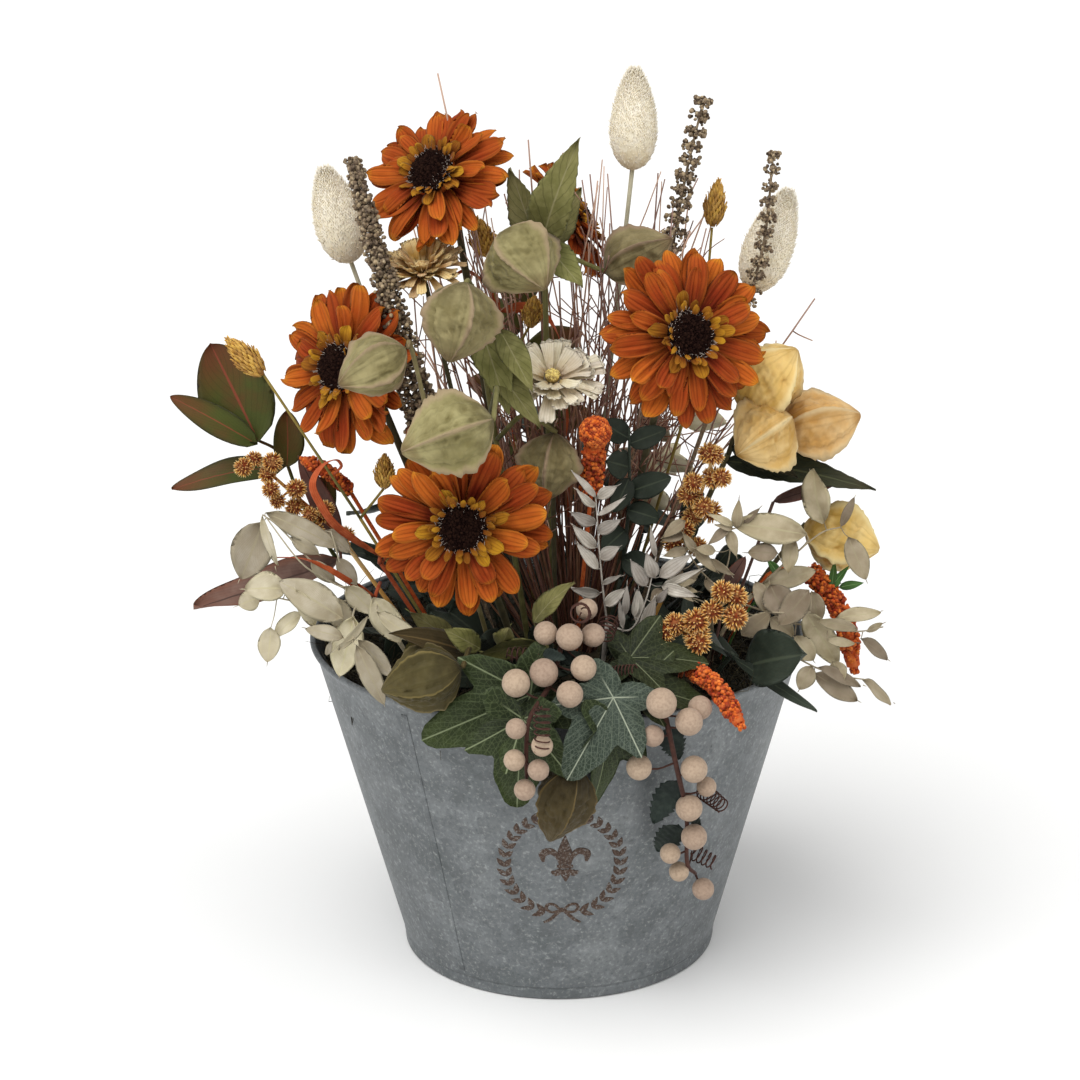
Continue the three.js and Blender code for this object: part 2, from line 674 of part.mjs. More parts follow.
add('amaranth_middle', fuse([
  stem([18, -60, 284], { radius: 1.4, sides: 4 }),
  knobbly([[18, -60, 281], [19, -64, 298], [19, -70, 312]], 6, 7),
  ball(new THREE.Vector3(20, -71, 316), 8.6),
]), AMARANTH);
add('amaranth_front', fuse([
  stem([71, -113, 200], { foot: [62, -60], via: [[67, -90, 197]], radius: 1.4, sides: 4, steps: 6 }),
  knobbly([[70, -111, 200], [81, -132, 198], [93, -149, 183]], 4, 9, 5),
]), AMARANTH);
add('amaranth_right', fuse([
  stem([137, -19, 224], { foot: [86, -22], via: [[112, -20, 218]], radius: 1.4, sides: 4, steps: 6 }),
  knobbly([[136, -19, 223], [153, -30, 202], [161, -36, 169]], 5, 11, 5),
]), AMARANTH);
add('amaranth_left', fuse([
  stem([-113, -35.5, 276], { radius: 1.4, sides: 4 }),
  knobbly([[-110, -35, 274], [-122, -38, 286], [-135, -40, 293]], 4.5, 7, 5),
]), AMARANTH);

// ---------------------------------------------------------- burr sprays ----

/** Burrs set by turns along the upper length of a stem. */
function burrSpray({ path, foot, via, count, size, spread, seed }) {
  const random = seededRandom(seed);
  const course = pathOf(path);
  const pieces = [
    stem(path[0], { radius: 1.3, sides: 4, foot, via, steps: 5 }),
    tube(path, 1.3, 4, 4),
  ];
  for (let k = 0; k < count; k += 1) {
    const h = (k + 0.5) / count;
    const axes = frameOf(course.getTangent(h), new THREE.Vector3(0, -1, 0.1));
    const angle = 2.4 * k + 0.5 * random();
    const r = size * (0.9 + 0.25 * random());
    const centre = course.getPoint(h)
      .addScaledVector(axes.x, spread * Math.cos(angle))
      .addScaledVector(axes.z, spread * Math.sin(angle));
    pieces.push(burr(centre, r, 2 * random()));
  }
  return fuse(pieces);
}

add('burr_spray_left', burrSpray({
  path: [[-118, -40, 254], [-140, -44, 276], [-162, -46, 298]], count: 6, size: 6.4, spread: 3.8, seed: 31,
}), BURR_TAN);
add('burr_spray_right', burrSpray({
  path: [[67, -40, 240], [75, -50, 273], [83, -60, 304]], count: 6, size: 6, spread: 3.8, seed: 32,
}), BURR_TAN);
add('burr_spray_front', burrSpray({
  path: [[54, -97, 210], [74, -97, 222], [95, -95, 238]], foot: [40, -58],
  count: 6, size: 7, spread: 4.6, seed: 33,
}), BURR_TAN);

// -------------------------------------------------------- berry sprays ----

/** Foam berries on dark twigs that branch from one stem. */
function berrySpray({ root, foot, via, spine, berries }) {
  const pieces = [stem(root, { foot, via, radius: 1.6, sides: 4, steps: 5 }), tube(spine, 1.4, 3, 5)];
  const course = pathOf(spine);
  for (const [x, y, z, radius] of berries) {
    const centre = new THREE.Vector3(x, y, z);
    let near = course.getPoint(0);
    for (let h = 0; h <= 1; h += 0.05) {
      const point = course.getPoint(h);
      if (point.distanceTo(centre) < near.distanceTo(centre)) near = point;
    }
    if (near.distanceTo(centre) > radius) pieces.push(tube([near, centre], 0.8, 3, 1));
    pieces.push(ball(centre, 0.96 * radius));
  }
  return fuse(pieces);
}

add('berry_spray_middle', berrySpray({
  root: [4, -108, 222], foot: [10, -48], via: [[6, -84, 208]],
  spine: [
    [4, -107, 222], [2, -124, 219], [-4, -140, 204], [-14, -150, 190], [-16, -154, 176], [-16, -152, 158],
  ],
  berries: [
    [-6, -128, 227, 6.1], [6, -134, 227, 6.9], [18, -126, 225, 6.1],
    [-7, -142, 211, 7.3], [-21, -146, 207, 7.2], [13, -141, 213, 6.6], [6, -149, 202, 6.8],
    [15, -112, 234, 5.6], [-21, -160, 188, 5.3], [-22, -160, 171, 5.5], [-8, -163, 180, 5.5],
    [-10, -161, 166, 5.5], [-17, -158, 154, 5.5],
  ],
}), BERRY);
add('berry_spray_trailing', berrySpray({
  root: [50, -126, 196], foot: [30, -80], via: [[42, -106, 200]],
  spine: [[49, -125, 196], [54, -142, 188], [60, -143, 160], [66, -130, 128], [67, -119, 96], [72, -108, 84]],
  berries: [
    [52, -149, 197, 7.8], [66, -147, 186, 7.1], [72, -138, 190, 6.2],
    [48, -146, 178, 5.6], [41, -144, 160, 6.6], [69, -142, 158, 7], [76, -132, 144, 5.2],
    [67, -136, 134, 7], [70, -130, 115, 6.8], [58, -124, 103, 5.4], [63, -116, 89, 5.3],
    [76, -112, 77, 5.9],
  ],
}), BERRY);

// -------------------------------------------------------------------- ivy ----

/** A lobed ivy leaf from its outline, bent along its rib. */
function ivyLeaf(root, tip, facing, width) {
  const start = vec(root);
  const chord = vec(tip).sub(start);
  const length = chord.length();
  const axes = frameOf(chord, vec(facing));
  const outline = new THREE.Shape([
    [0.04, 0], [0.3, -0.1], [0.24, 0.1], [0.5, 0.24], [0.22, 0.42], [0.17, 0.66], [0, 1],
    [-0.17, 0.66], [-0.22, 0.42], [-0.5, 0.24], [-0.24, 0.1], [-0.3, -0.1], [-0.04, 0],
  ].map(([x, y]) => new THREE.Vector2(x * width, y * length)));
  const plate = new THREE.ExtrudeGeometry(outline, { depth: 0.9, bevelEnabled: false, steps: 1 });
  return deform(plate, (x, y, z) => start.clone()
    .addScaledVector(axes.x, x)
    .addScaledVector(axes.y, y)
    .addScaledVector(axes.z, z - 0.02 * (y - 0.4 * length) ** 2 / 8 + 0.12 * Math.abs(x)));
}

add('ivy_left', fuse([
  stem([-12, -134, 196], { foot: [-14, -70], via: [[-12, -106, 192]], radius: 1.4, sides: 4, steps: 6 }),
  tube([[-12, -133, 196], [-24, -136, 190]], 1.3, 4, 1),
  ivyLeaf([-20, -136, 193], [-73, -128, 168], [-0.1, -0.95, 0.3], 46),
]), IVY_GREEN);
add('ivy_right', fuse([
  stem([29, -140, 195], { foot: [22, -84], via: [[26, -112, 193]], radius: 1.4, sides: 4, steps: 6 }),
  ivyLeaf([28, -141, 196], [4, -158, 160], [0, -0.9, 0.45], 46),
  ivyLeaf([25, -140, 182], [22, -136, 122], [0.3, -0.9, 0.1], 26),
  tube([[29, -140, 195], [26, -141, 182]], 1.2, 4, 1),
  tube([[26, -112, 193], [37, -112, 209]], 1.2, 4, 1),
  ivyLeaf([35, -112, 208], [76, -117, 213], [0.1, -0.6, 0.8], 30),
]), IVY_GREEN);

// ------------------------------------------------------------ leafy stems ----

/** A stem set with leaves: each has a root on the stem, a tip and a half width. */
function leafyStem({ path, foot, via, leaves }) {
  const pieces = [stem(path[0], { foot, via, radius: 1.3, sides: 4, steps: 5 })];
  if (path.length > 1) pieces.push(tube(path, 1.3, 4, 5));
  for (const { root, tip, half, facing = [0.1, -1, 0.4], arch = 2 } of leaves) {
    pieces.push(blade(root, tip, facing, half, { widths: [0.1, 0.9, 1, 0], arch }));
  }
  return fuse(pieces);
}

add('gum_leaves_left', leafyStem({
  path: [[-116, -26, 228], [-136, -24, 262], [-146, -24, 290], [-160, -34, 303]],
  foot: [-78, -22], via: [[-100, -26, 200]],
  leaves: [
    { root: [-158, -33, 302], tip: [-180, -36, 352], half: 19, facing: [0.1, -1, 0.1] },
    { root: [-144, -24, 284], tip: [-206, -27, 275], half: 8, facing: [0.1, -0.6, 0.9] },
    { root: [-144, -24, 284], tip: [-143, -18, 312], half: 8, facing: [0.3, -1, 0.1] },
    { root: [-117, -28, 232], tip: [-192, -62, 222], half: 11, facing: [-0.1, -0.5, 0.9], arch: 5 },
  ],
}), GUM_GREEN);
add('gum_leaf_right', leafyStem({
  path: [[92, -76, 196]],
  foot: [74, -62],
  leaves: [
    { root: [91, -75, 194], tip: [122, -104, 202], half: 15, facing: [0.4, -0.6, 0.8] },
    { root: [90, -74, 193], tip: [78, -100, 214], half: 8, facing: [-0.1, -0.7, 0.8] },
  ],
}), GUM_GREEN);
add('gum_leaves_middle', leafyStem({
  path: [[34, -42, 226], [38, -46, 270], [38, -50, 312]],
  leaves: [
    { root: [38, -49, 306], tip: [24, -48, 318], half: 6 },
    { root: [38, -49, 304], tip: [56, -46, 311], half: 6 },
    { root: [38, -48, 288], tip: [24, -50, 283], half: 6 },
    { root: [38, -47, 276], tip: [59, -44, 281], half: 7 },
    { root: [37, -46, 262], tip: [52, -46, 258], half: 7 },
  ],
}), GUM_GREEN);
add('gum_leaves_back', leafyStem({
  path: [[-10, 52, 230], [-16, 66, 290], [-20, 74, 350]],
  leaves: [
    { root: [-20, 74, 346], tip: [-22, 84, 380], half: 13, facing: [0, 1, 0.2] },
    { root: [-19, 72, 334], tip: [-48, 86, 346], half: 12, facing: [0, 1, 0.3] },
    { root: [-18, 70, 318], tip: [12, 86, 330], half: 12, facing: [0, 1, 0.3] },
    { root: [-16, 66, 296], tip: [-50, 80, 302], half: 12, facing: [0, 1, 0.3] },
    { root: [-14, 62, 276], tip: [20, 78, 284], half: 12, facing: [0, 1, 0.3] },
  ],
}), GUM_GREEN);

/** A thin twig with a pointed leaflet by turns on each side and a last one at its end. */
function sprig(points, { count, long, half, facing }) {
  const path = pathOf(points);
  const pieces = [tube(points, 0.8, 3, 3)];
  for (let k = 0; k <= count; k += 1) {
    const h = (k + 0.5) / (count + 0.5);
    const heading = path.getTangent(h);
    const side = frameOf(heading, vec(facing)).x.multiplyScalar(k % 2 === 0 ? 1 : -1);
    const size = long * (1.1 - 0.3 * h);
    const root = path.getPoint(h).addScaledVector(heading, -0.5);
    const aim = k === count ? heading : side.addScaledVector(heading, 0.6).normalize();
    const tip = root.clone().addScaledVector(aim, size);
    pieces.push(blade(root, tip, facing, half, { widths: [0, 1, 0], thick: 0.9 }));
  }
  return pieces;
}

/** Bleached sprigs that fork from one stem. */
function bleachedSpray({ fork, foot, via, sprigs, long, half, facing }) {
  const pieces = [stem(fork, { foot, via, radius: 1.4, sides: 4, steps: 5 })];
  for (const { path, count } of sprigs) {
    pieces.push(...sprig([fork, ...path], { count, long, half, facing }));
  }
  return fuse(pieces);
}

add('bleached_leaves_left', bleachedSpray({
  fork: [-104, -66, 226], foot: [-70, -44], via: [[-90, -58, 206]],
  long: 21, half: 7, facing: [0, -0.8, 0.6],
  sprigs: [
    { path: [[-130, -78, 248], [-158, -80, 262]], count: 5 },
    { path: [[-130, -92, 232], [-156, -100, 226]], count: 5 },
    { path: [[-100, -100, 220], [-98, -122, 202]], count: 4 },
  ],
}), BLEACHED);
add('bleached_leaves_right', bleachedSpray({
  fork: [104, -46, 218], foot: [76, -36], via: [[92, -42, 202]],
  long: 18, half: 6, facing: [0, -0.8, 0.6],
  sprigs: [
    { path: [[118, -54, 246], [134, -54, 270]], count: 5 },
    { path: [[134, -66, 228], [160, -74, 216]], count: 5 },
    { path: [[130, -72, 200], [160, -80, 172]], count: 6 },
  ],
}), BLEACHED);
add('bleached_ruscus', bleachedSpray({
  fork: [26, -80, 214], foot: [22, -62], via: [[24, -70, 190]],
  long: 12, half: 3.4, facing: [0, -1, 0.2],
  sprigs: [
    { path: [[22, -84, 250], [19, -80, 294]], count: 8 },
    { path: [[42, -92, 232], [52, -92, 258]], count: 5 },
  ],
}), CREAM);
add('bleached_leaves_back', bleachedSpray({
  fork: [40, 60, 236], foot: [28, 44], via: [[34, 52, 200]],
  long: 24, half: 8, facing: [0.1, 0.9, 0.5],
  sprigs: [
    { path: [[64, 78, 266], [86, 86, 300]], count: 5 },
    { path: [[50, 86, 246], [60, 112, 240]], count: 4 },
  ],
}), BLEACHED);

// ------------------------------------------------------- twigs and curls ----

const TWIG_TIPS = [
  [-61, 10, 489], [-14, 14, 453], [59, 36, 426], [138, 2, 369], [26, 0, 399], [-27, 6, 396],
  [2, 12, 376], [30, 4, 352], [76, 30, 362], [-40, 4, 372],
];

/** A fan of fine grass from one tuft. */
function twigFan() {
  const tuft = new THREE.Vector3(9, -11, 176);
  const pieces = [stem(tuft, { radius: 2.2, foot: [8, -10], sides: 5, steps: 2 })];
  for (const tip of TWIG_TIPS) {
    const bend = tuft.clone().lerp(vec(tip), 0.5).add(new THREE.Vector3(0, 0, 12));
    pieces.push(tube([[9, -11, 172], bend, tip], 0.6, 3, 3));
  }
  return fuse(pieces);
}

add('grass_twigs', twigFan(), TWIG_BROWN);

/** A curled ribbon of leaf on a short stem. */
function leafCurl() {
  const base = [-94, -52, 238];
  const curl = [base, [-108, -64, 254], [-124, -70, 274], [-126, -74, 290], [-114, -70, 298]];
  return fuse([
    stem([-94, -52, 240], { radius: 1.2, sides: 4 }),
    tube(curl, 1.5, 4, 9),
  ]);
}

add('leaf_curls', leafCurl(), CURL_ORANGE);

// ------------------------------------------------------------ pot, filling ----

add('pot_wall', solid(potWall()), ZINC);
add('pot_bottom', solid(potBottom()), ZINC);
add('moss_ring', solid(mossRing()), MOSS);
add('foam_block', foamBlock(), FOAM);

export default group;
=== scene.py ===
# %% [markdown]
# # A silk and dried flower arrangement in a zinc pot
# The pot is folded sheet zinc. Silk gerberas, paper lantern pods, dried grasses, berries and
# leaves stand in a foam block, and dark moss hides the foam.
# The solids from the part's source say where everything is. This lesson dresses each of them with
# petals, veins, hairs and granules, so the places below repeat the source's own values in
# millimetres, and one factor turns them into metres at the end.

# %% Load the solids
import bpy
import numpy as np
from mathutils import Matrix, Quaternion, Vector


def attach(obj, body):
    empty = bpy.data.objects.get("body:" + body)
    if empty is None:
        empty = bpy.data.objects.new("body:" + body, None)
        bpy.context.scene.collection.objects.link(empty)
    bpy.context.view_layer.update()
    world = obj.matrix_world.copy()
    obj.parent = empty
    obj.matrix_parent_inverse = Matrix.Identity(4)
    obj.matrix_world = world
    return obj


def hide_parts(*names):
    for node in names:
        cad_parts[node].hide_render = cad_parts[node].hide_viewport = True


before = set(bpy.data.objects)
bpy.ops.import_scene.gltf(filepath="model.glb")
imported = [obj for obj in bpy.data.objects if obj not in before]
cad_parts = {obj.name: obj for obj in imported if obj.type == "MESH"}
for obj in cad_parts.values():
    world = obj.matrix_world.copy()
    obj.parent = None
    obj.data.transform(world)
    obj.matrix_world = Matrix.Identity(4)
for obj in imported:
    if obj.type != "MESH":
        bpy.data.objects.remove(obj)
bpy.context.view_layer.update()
MM = 0.001
TAU = 2 * np.pi

# %% [markdown]
# ## Directions and lines
# A leaf or a pod has its own three directions: y along it, z towards its face, x across. Every
# shape here is worked out on those and then laid into place as whole arrays of points.
# A stem's line goes through a few chosen points. A cubic on each span, whose end slopes are half
# the step between the neighbours, gives a line that bends like wire.

# %% Directions and smooth lines
def unit(v):
    """Each vector divided by its own length."""
    v = np.asarray(v, float)
    return v / np.maximum(np.linalg.norm(v, axis=-1, keepdims=True), 1e-9)


def frame_of(along, facing):
    """x, y, z: y is the unit of along, x is y times facing, z is x times y."""
    y = unit(along)
    x = unit(np.cross(y, np.asarray(facing, float) + [1e-4, 2e-4, 0]))
    return x, y, np.cross(x, y)


def span(base, tip, facing):
    """base and tip as arrays, the length between them, and the directions of what lies there."""
    base, tip = np.asarray(base, float), np.asarray(tip, float)
    return base, tip, np.linalg.norm(tip - base), frame_of(tip - base, facing)


def course(points, count):
    """count points on cubics through a, b, c, d: (2b + (c-a)t + (2a-5b+4c-d)t2 + (3b-a-3c+d)t3) / 2."""
    p = np.asarray(points, float)
    if len(p) == 2:
        return p[0] + (p[1] - p[0]) * np.linspace(0, 1, count)[:, None]
    p = np.vstack([2 * p[0] - p[1], p, 2 * p[-1] - p[-2]])
    s = np.linspace(0, len(p) - 3, count)
    i = np.minimum(s.astype(int), len(p) - 4)
    t = (s - i)[:, None]
    a, b, c, d = p[i], p[i + 1], p[i + 2], p[i + 3]
    return 0.5 * (2 * b + (c - a) * t + (2 * a - 5 * b + 4 * c - d) * t**2 + (3 * b - a - 3 * c + d) * t**3)


def ripple(points, size, seed):
    """Smooth unevenness from -1 to 1: the mean of five sines that run in random directions, size mm long."""
    rng = np.random.default_rng(seed)
    ways = unit(rng.normal(size=(5, 3))) * TAU / (size * rng.uniform(0.6, 1.6, (5, 1)))
    return np.sin(points @ ways.T + rng.uniform(0, TAU, 5)).mean(-1)

# %% [markdown]
# ## Skins
# A stem, a petal, a pod and a grain are all the same kind of grid: rows of points round a line,
# closed at both ends. A petal is only a very flat one. So one function closes grids into bodies,
# many copies at a time, and writes three numbers on each point for the finishes to read: how far
# across, how far along, and one random tone per copy.

# %% Close grids into bodies
def skins(grid, tone=None, across=None, along=None):
    """Joins each row of n grids (n, rows, around, 3) to the next, and each end to a point in its middle."""
    grid = np.asarray(grid, float)
    grid = grid[None] if grid.ndim == 3 else grid
    n, rows, around, _ = grid.shape
    points = np.concatenate([grid.reshape(n, -1, 3), grid[:, [0]].mean(2), grid[:, [-1]].mean(2)], 1)
    r, c = [v.ravel() for v in np.meshgrid(np.arange(rows - 1), np.arange(around), indexing="ij")]
    a, b = r * around + c, r * around + (c + 1) % around
    ring, after = np.arange(around), (np.arange(around) + 1) % around
    foot, top = np.full(around, rows * around), (rows - 1) * around
    faces = np.concatenate([
        np.stack([a, a + around, b + around], 1),
        np.stack([a, b + around, b], 1),
        np.stack([foot, ring, after], 1),
        np.stack([foot + 1, top + after, top + ring], 1),
    ])
    faces = (faces[None] + (np.arange(n) * points.shape[1])[:, None, None]).reshape(-1, 3)
    turn = np.cos(TAU * ring / around)
    u = np.broadcast_to(turn if across is None else across, (n, rows, around)).reshape(n, -1)
    v = np.linspace(0, 1, rows)[:, None] if along is None else along
    v = np.broadcast_to(v, (n, rows, around)).reshape(n, -1)
    u = np.concatenate([u, np.zeros((n, 2))], 1)
    v = np.concatenate([v, v[:, :1], v[:, -1:]], 1)
    w = np.full(n, 0.5) if tone is None else np.broadcast_to(tone, (n,))
    look = np.stack([u, v, np.broadcast_to(w[:, None], u.shape)], -1)
    return points.reshape(-1, 3), faces, look.reshape(-1, 3)

# %% [markdown]
# A round stem is a ring carried along its line. A leaf or a grain is worked out lying at the
# origin, along y, and then laid along its own three directions.

# %% Carry a ring along a line, and lay shapes in place
def sweep(paths, radii, sides=6, side_way=(0.31, 0.2, 0.93)):
    """Rings round paths (n, rows, 3): each point plus radius times (cos x + sin z), square to the path."""
    paths = np.asarray(paths, float)
    paths = paths[None] if paths.ndim == 2 else paths
    x, _, z = frame_of(np.gradient(paths, axis=1), side_way)
    angle = TAU * np.arange(sides)[:, None] / sides
    ring = x[:, :, None] * np.cos(angle) + z[:, :, None] * np.sin(angle)
    radii = np.broadcast_to(radii, paths.shape[:2])[:, :, None, None]
    return paths[:, :, None] + radii * ring


def lay(shape, origin, axes):
    """Puts points (..., 3) given in x, y, z of each frame at each origin."""
    shape = np.asarray(shape, float)
    x, y, z = [np.atleast_2d(a)[:, None, None] for a in axes]
    return (np.atleast_2d(origin)[:, None, None]
            + shape[..., 0:1] * x + shape[..., 1:2] * y + shape[..., 2:3] * z)

# %% [markdown]
# A petal or a leaf is a thin closed skin. Its outline gives the width at each place along it, and its
# relief lifts it off the flat. Every copy draws four numbers of luck, so no two are alike.

# %% Thin petals and leaves
def blades(roots, tips, facings, halves, outline, relief, rows=9, around=12, thick=0.5, seed=0, tone=None,
           sway=0.0, fray=0.0):
    """Thin petals or leaves. At (u, v): root + v length y + u half outline(v) x + relief(u, v, ...) z.

    sway bends each one sideways by its own luck, and fray cuts three teeth into its end."""
    roots, tips = np.atleast_2d(roots).astype(float), np.atleast_2d(tips).astype(float)
    rng = np.random.default_rng(seed)
    luck = rng.uniform(-1, 1, (4, len(roots), 1, 1))
    axes = frame_of(tips - roots, np.broadcast_to(facings, roots.shape))
    length = np.linalg.norm(tips - roots, axis=1)[:, None, None]
    half = np.broadcast_to(halves, len(roots))[:, None, None]
    v = np.sin(0.5 * np.pi * np.linspace(0, 1, rows))[None, :, None]
    angle = TAU * np.arange(around)[None, None] / around
    u = 2 * np.abs(angle / np.pi - 1) - 1
    width = np.maximum(outline(v), 0.02)
    lift = relief(u, v, length, half, luck)
    depth = 0.5 * thick * np.sin(angle) * np.minimum(1, 4 * width)
    side = u * half * width + sway * length * luck[2] * v**2
    teeth = 0.5 * np.cos(3 * np.pi * u + luck[1])
    reach = v * length * (1 + fray * teeth * v**4)
    shape = np.stack(np.broadcast_arrays(side, reach, lift + depth), -1)
    tone = rng.uniform(0, 1, len(roots)) if tone is None else tone
    return skins(lay(shape, roots, axes), tone, across=u, along=v)

# %% [markdown]
# Plants set their seeds on a spiral whose step is the golden angle, 137.5 degrees, which never
# lines them up. The same spiral sets grains, hairs, scales and spines here.

# %% Round grains and the golden spiral
def spiral(count):
    """For each of count seeds, its share of the way from 0 to 1 and its angle, k times 137.508 degrees."""
    k = np.arange(count) + 0.5
    return k / count, k * np.radians(137.508)


def all_round(count):
    """Directions spread evenly over a ball: height 1 - 2s, and the spiral round the axis."""
    share, angle = spiral(count)
    height = 1 - 2 * share
    flat = np.sqrt(1 - height**2)
    return np.stack([flat * np.cos(angle), flat * np.sin(angle), height], -1)


def balls(centres, radii, rows=6, around=8, seed=0, squash=1.0, along=(0, 0, 1)):
    """Round grains: sin(pi t) out and -cos(pi t) along, from pole to pole."""
    centres = np.atleast_2d(centres).astype(float)
    t = (np.arange(rows) + 0.7) / (rows + 0.4)
    angle = TAU * np.arange(around) / around
    out = np.sin(np.pi * t)[:, None]
    shape = np.stack(np.broadcast_arrays(
        out * np.cos(angle), -squash * np.cos(np.pi * t)[:, None], out * np.sin(angle)), -1)
    size = np.broadcast_to(radii, len(centres))[:, None, None, None]
    axes = frame_of(np.broadcast_to(along, centres.shape), [0.3, 0.5, 0.2])
    tone = np.random.default_rng(seed).uniform(0, 1, len(centres))
    return skins(lay(shape * size, centres, axes), tone)

# %% [markdown]
# ## Pieces
# A piece is one mesh at the origin that rides on the part's only body. It stands for the plain
# solids that it replaces.

# %% Make a piece
def piece(name, bodies, finish, slot, *nodes):
    """Joins bodies into one mesh, in metres, with the three look numbers on its points."""
    shift = np.cumsum([0] + [len(body[0]) for body in bodies])
    points = np.concatenate([body[0] for body in bodies]) * MM
    faces = np.concatenate([body[1] + s for body, s in zip(bodies, shift)])
    mesh = bpy.data.meshes.new(name)
    mesh.vertices.add(len(points))
    mesh.vertices.foreach_set("co", points.ravel())
    mesh.loops.add(faces.size)
    mesh.loops.foreach_set("vertex_index", faces.ravel().astype(np.int32))
    mesh.polygons.add(len(faces))
    mesh.polygons.foreach_set("loop_start", np.arange(0, faces.size, 3, dtype=np.int32))
    mesh.polygons.foreach_set("use_smooth", np.ones(len(faces), bool))
    look = mesh.attributes.new("look", "FLOAT_VECTOR", "POINT")
    look.data.foreach_set("vector", np.concatenate([body[2] for body in bodies]).ravel())
    mesh.update(calc_edges=True)
    mesh.materials.append(finish)
    made = bpy.data.objects.new(name, mesh)
    bpy.context.scene.collection.objects.link(made)
    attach(made, "root")
    if nodes:
        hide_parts(*nodes)
    print(f"{name}: {len(faces)} triangles")
    return made

# %% [markdown]
# ## Finishes
# Colours are written as the hex values that a screen shows, and one function turns them to the
# light values that rendering counts with. One small function adds a node. Most finishes are a base
# colour with thin layers painted over it, each where some pattern is strong.

# %% Colours and nodes
def light(hex_colour):
    """sRGB to linear: c / 12.92 below 0.04045, else ((c + 0.055) / 1.055) to the power 2.4."""
    c = np.array([int(hex_colour[i:i + 2], 16) for i in (1, 3, 5)]) / 255
    return (*np.where(c <= 0.04045, c / 12.92, ((c + 0.055) / 1.055) ** 2.4), 1.0)


def new_material(name):
    """A material and its empty node tree."""
    material = bpy.data.materials.new(name)
    material.use_nodes = True
    material.node_tree.nodes.clear()
    return material, material.node_tree


def add_node(tree, kind, links=(), stops=(), **settings):
    """Adds a node, sets its properties and ramp stops, and fills sockets with values, sockets or nodes."""
    node = tree.nodes.new("ShaderNode" + kind)
    for key, value in settings.items():
        setattr(node, key, value)
    if stops:
        ramp = node.color_ramp.elements
        for element, (place, colour) in zip(ramp, (stops[0], stops[-1])):
            element.position, element.color = place, light(colour)
        for place, colour in stops[1:-1]:
            ramp.new(place).color = light(colour)
    for key, value in dict(links).items():
        if isinstance(value, bpy.types.Node):
            value = value.outputs[0]
        if isinstance(value, bpy.types.NodeSocket):
            tree.links.new(value, node.inputs[key])
        else:
            node.inputs[key].default_value = value
    return node


def paint_layers(tree, colour, layers):
    """Paints (value, low, high, share, hex) in turn; each covers its share where its value reaches high."""
    masks = {}
    for key, (value, low, high, share, paint) in layers.items():
        masks[key] = add_node(tree, "MapRange", {
            "Value": value, "From Min": low, "From Max": high, "To Max": share})
        colour = add_node(tree, "MixRGB", {"Fac": masks[key], "Color1": colour, "Color2": light(paint)})
    return colour, masks

# %% [markdown]
# ## One finish for fibre sheets
# Silk, paper and dried leaves are all thin fibre sheets: dull, a little fuzzy, and uneven in
# colour from root to tip and from one leaf to the next. One finish covers them, with these parts:
# a ramp of colours along the piece, mottling of a real size in millimetres, a darker or paler edge,
# fine lines that run the length of a petal or slant off a leaf's midrib, a net of small veins, the
# rib itself, a tone for each copy, and bump from the same patterns. Object coordinates count in
# metres, so a pattern's scale is 1000 over its size in millimetres.

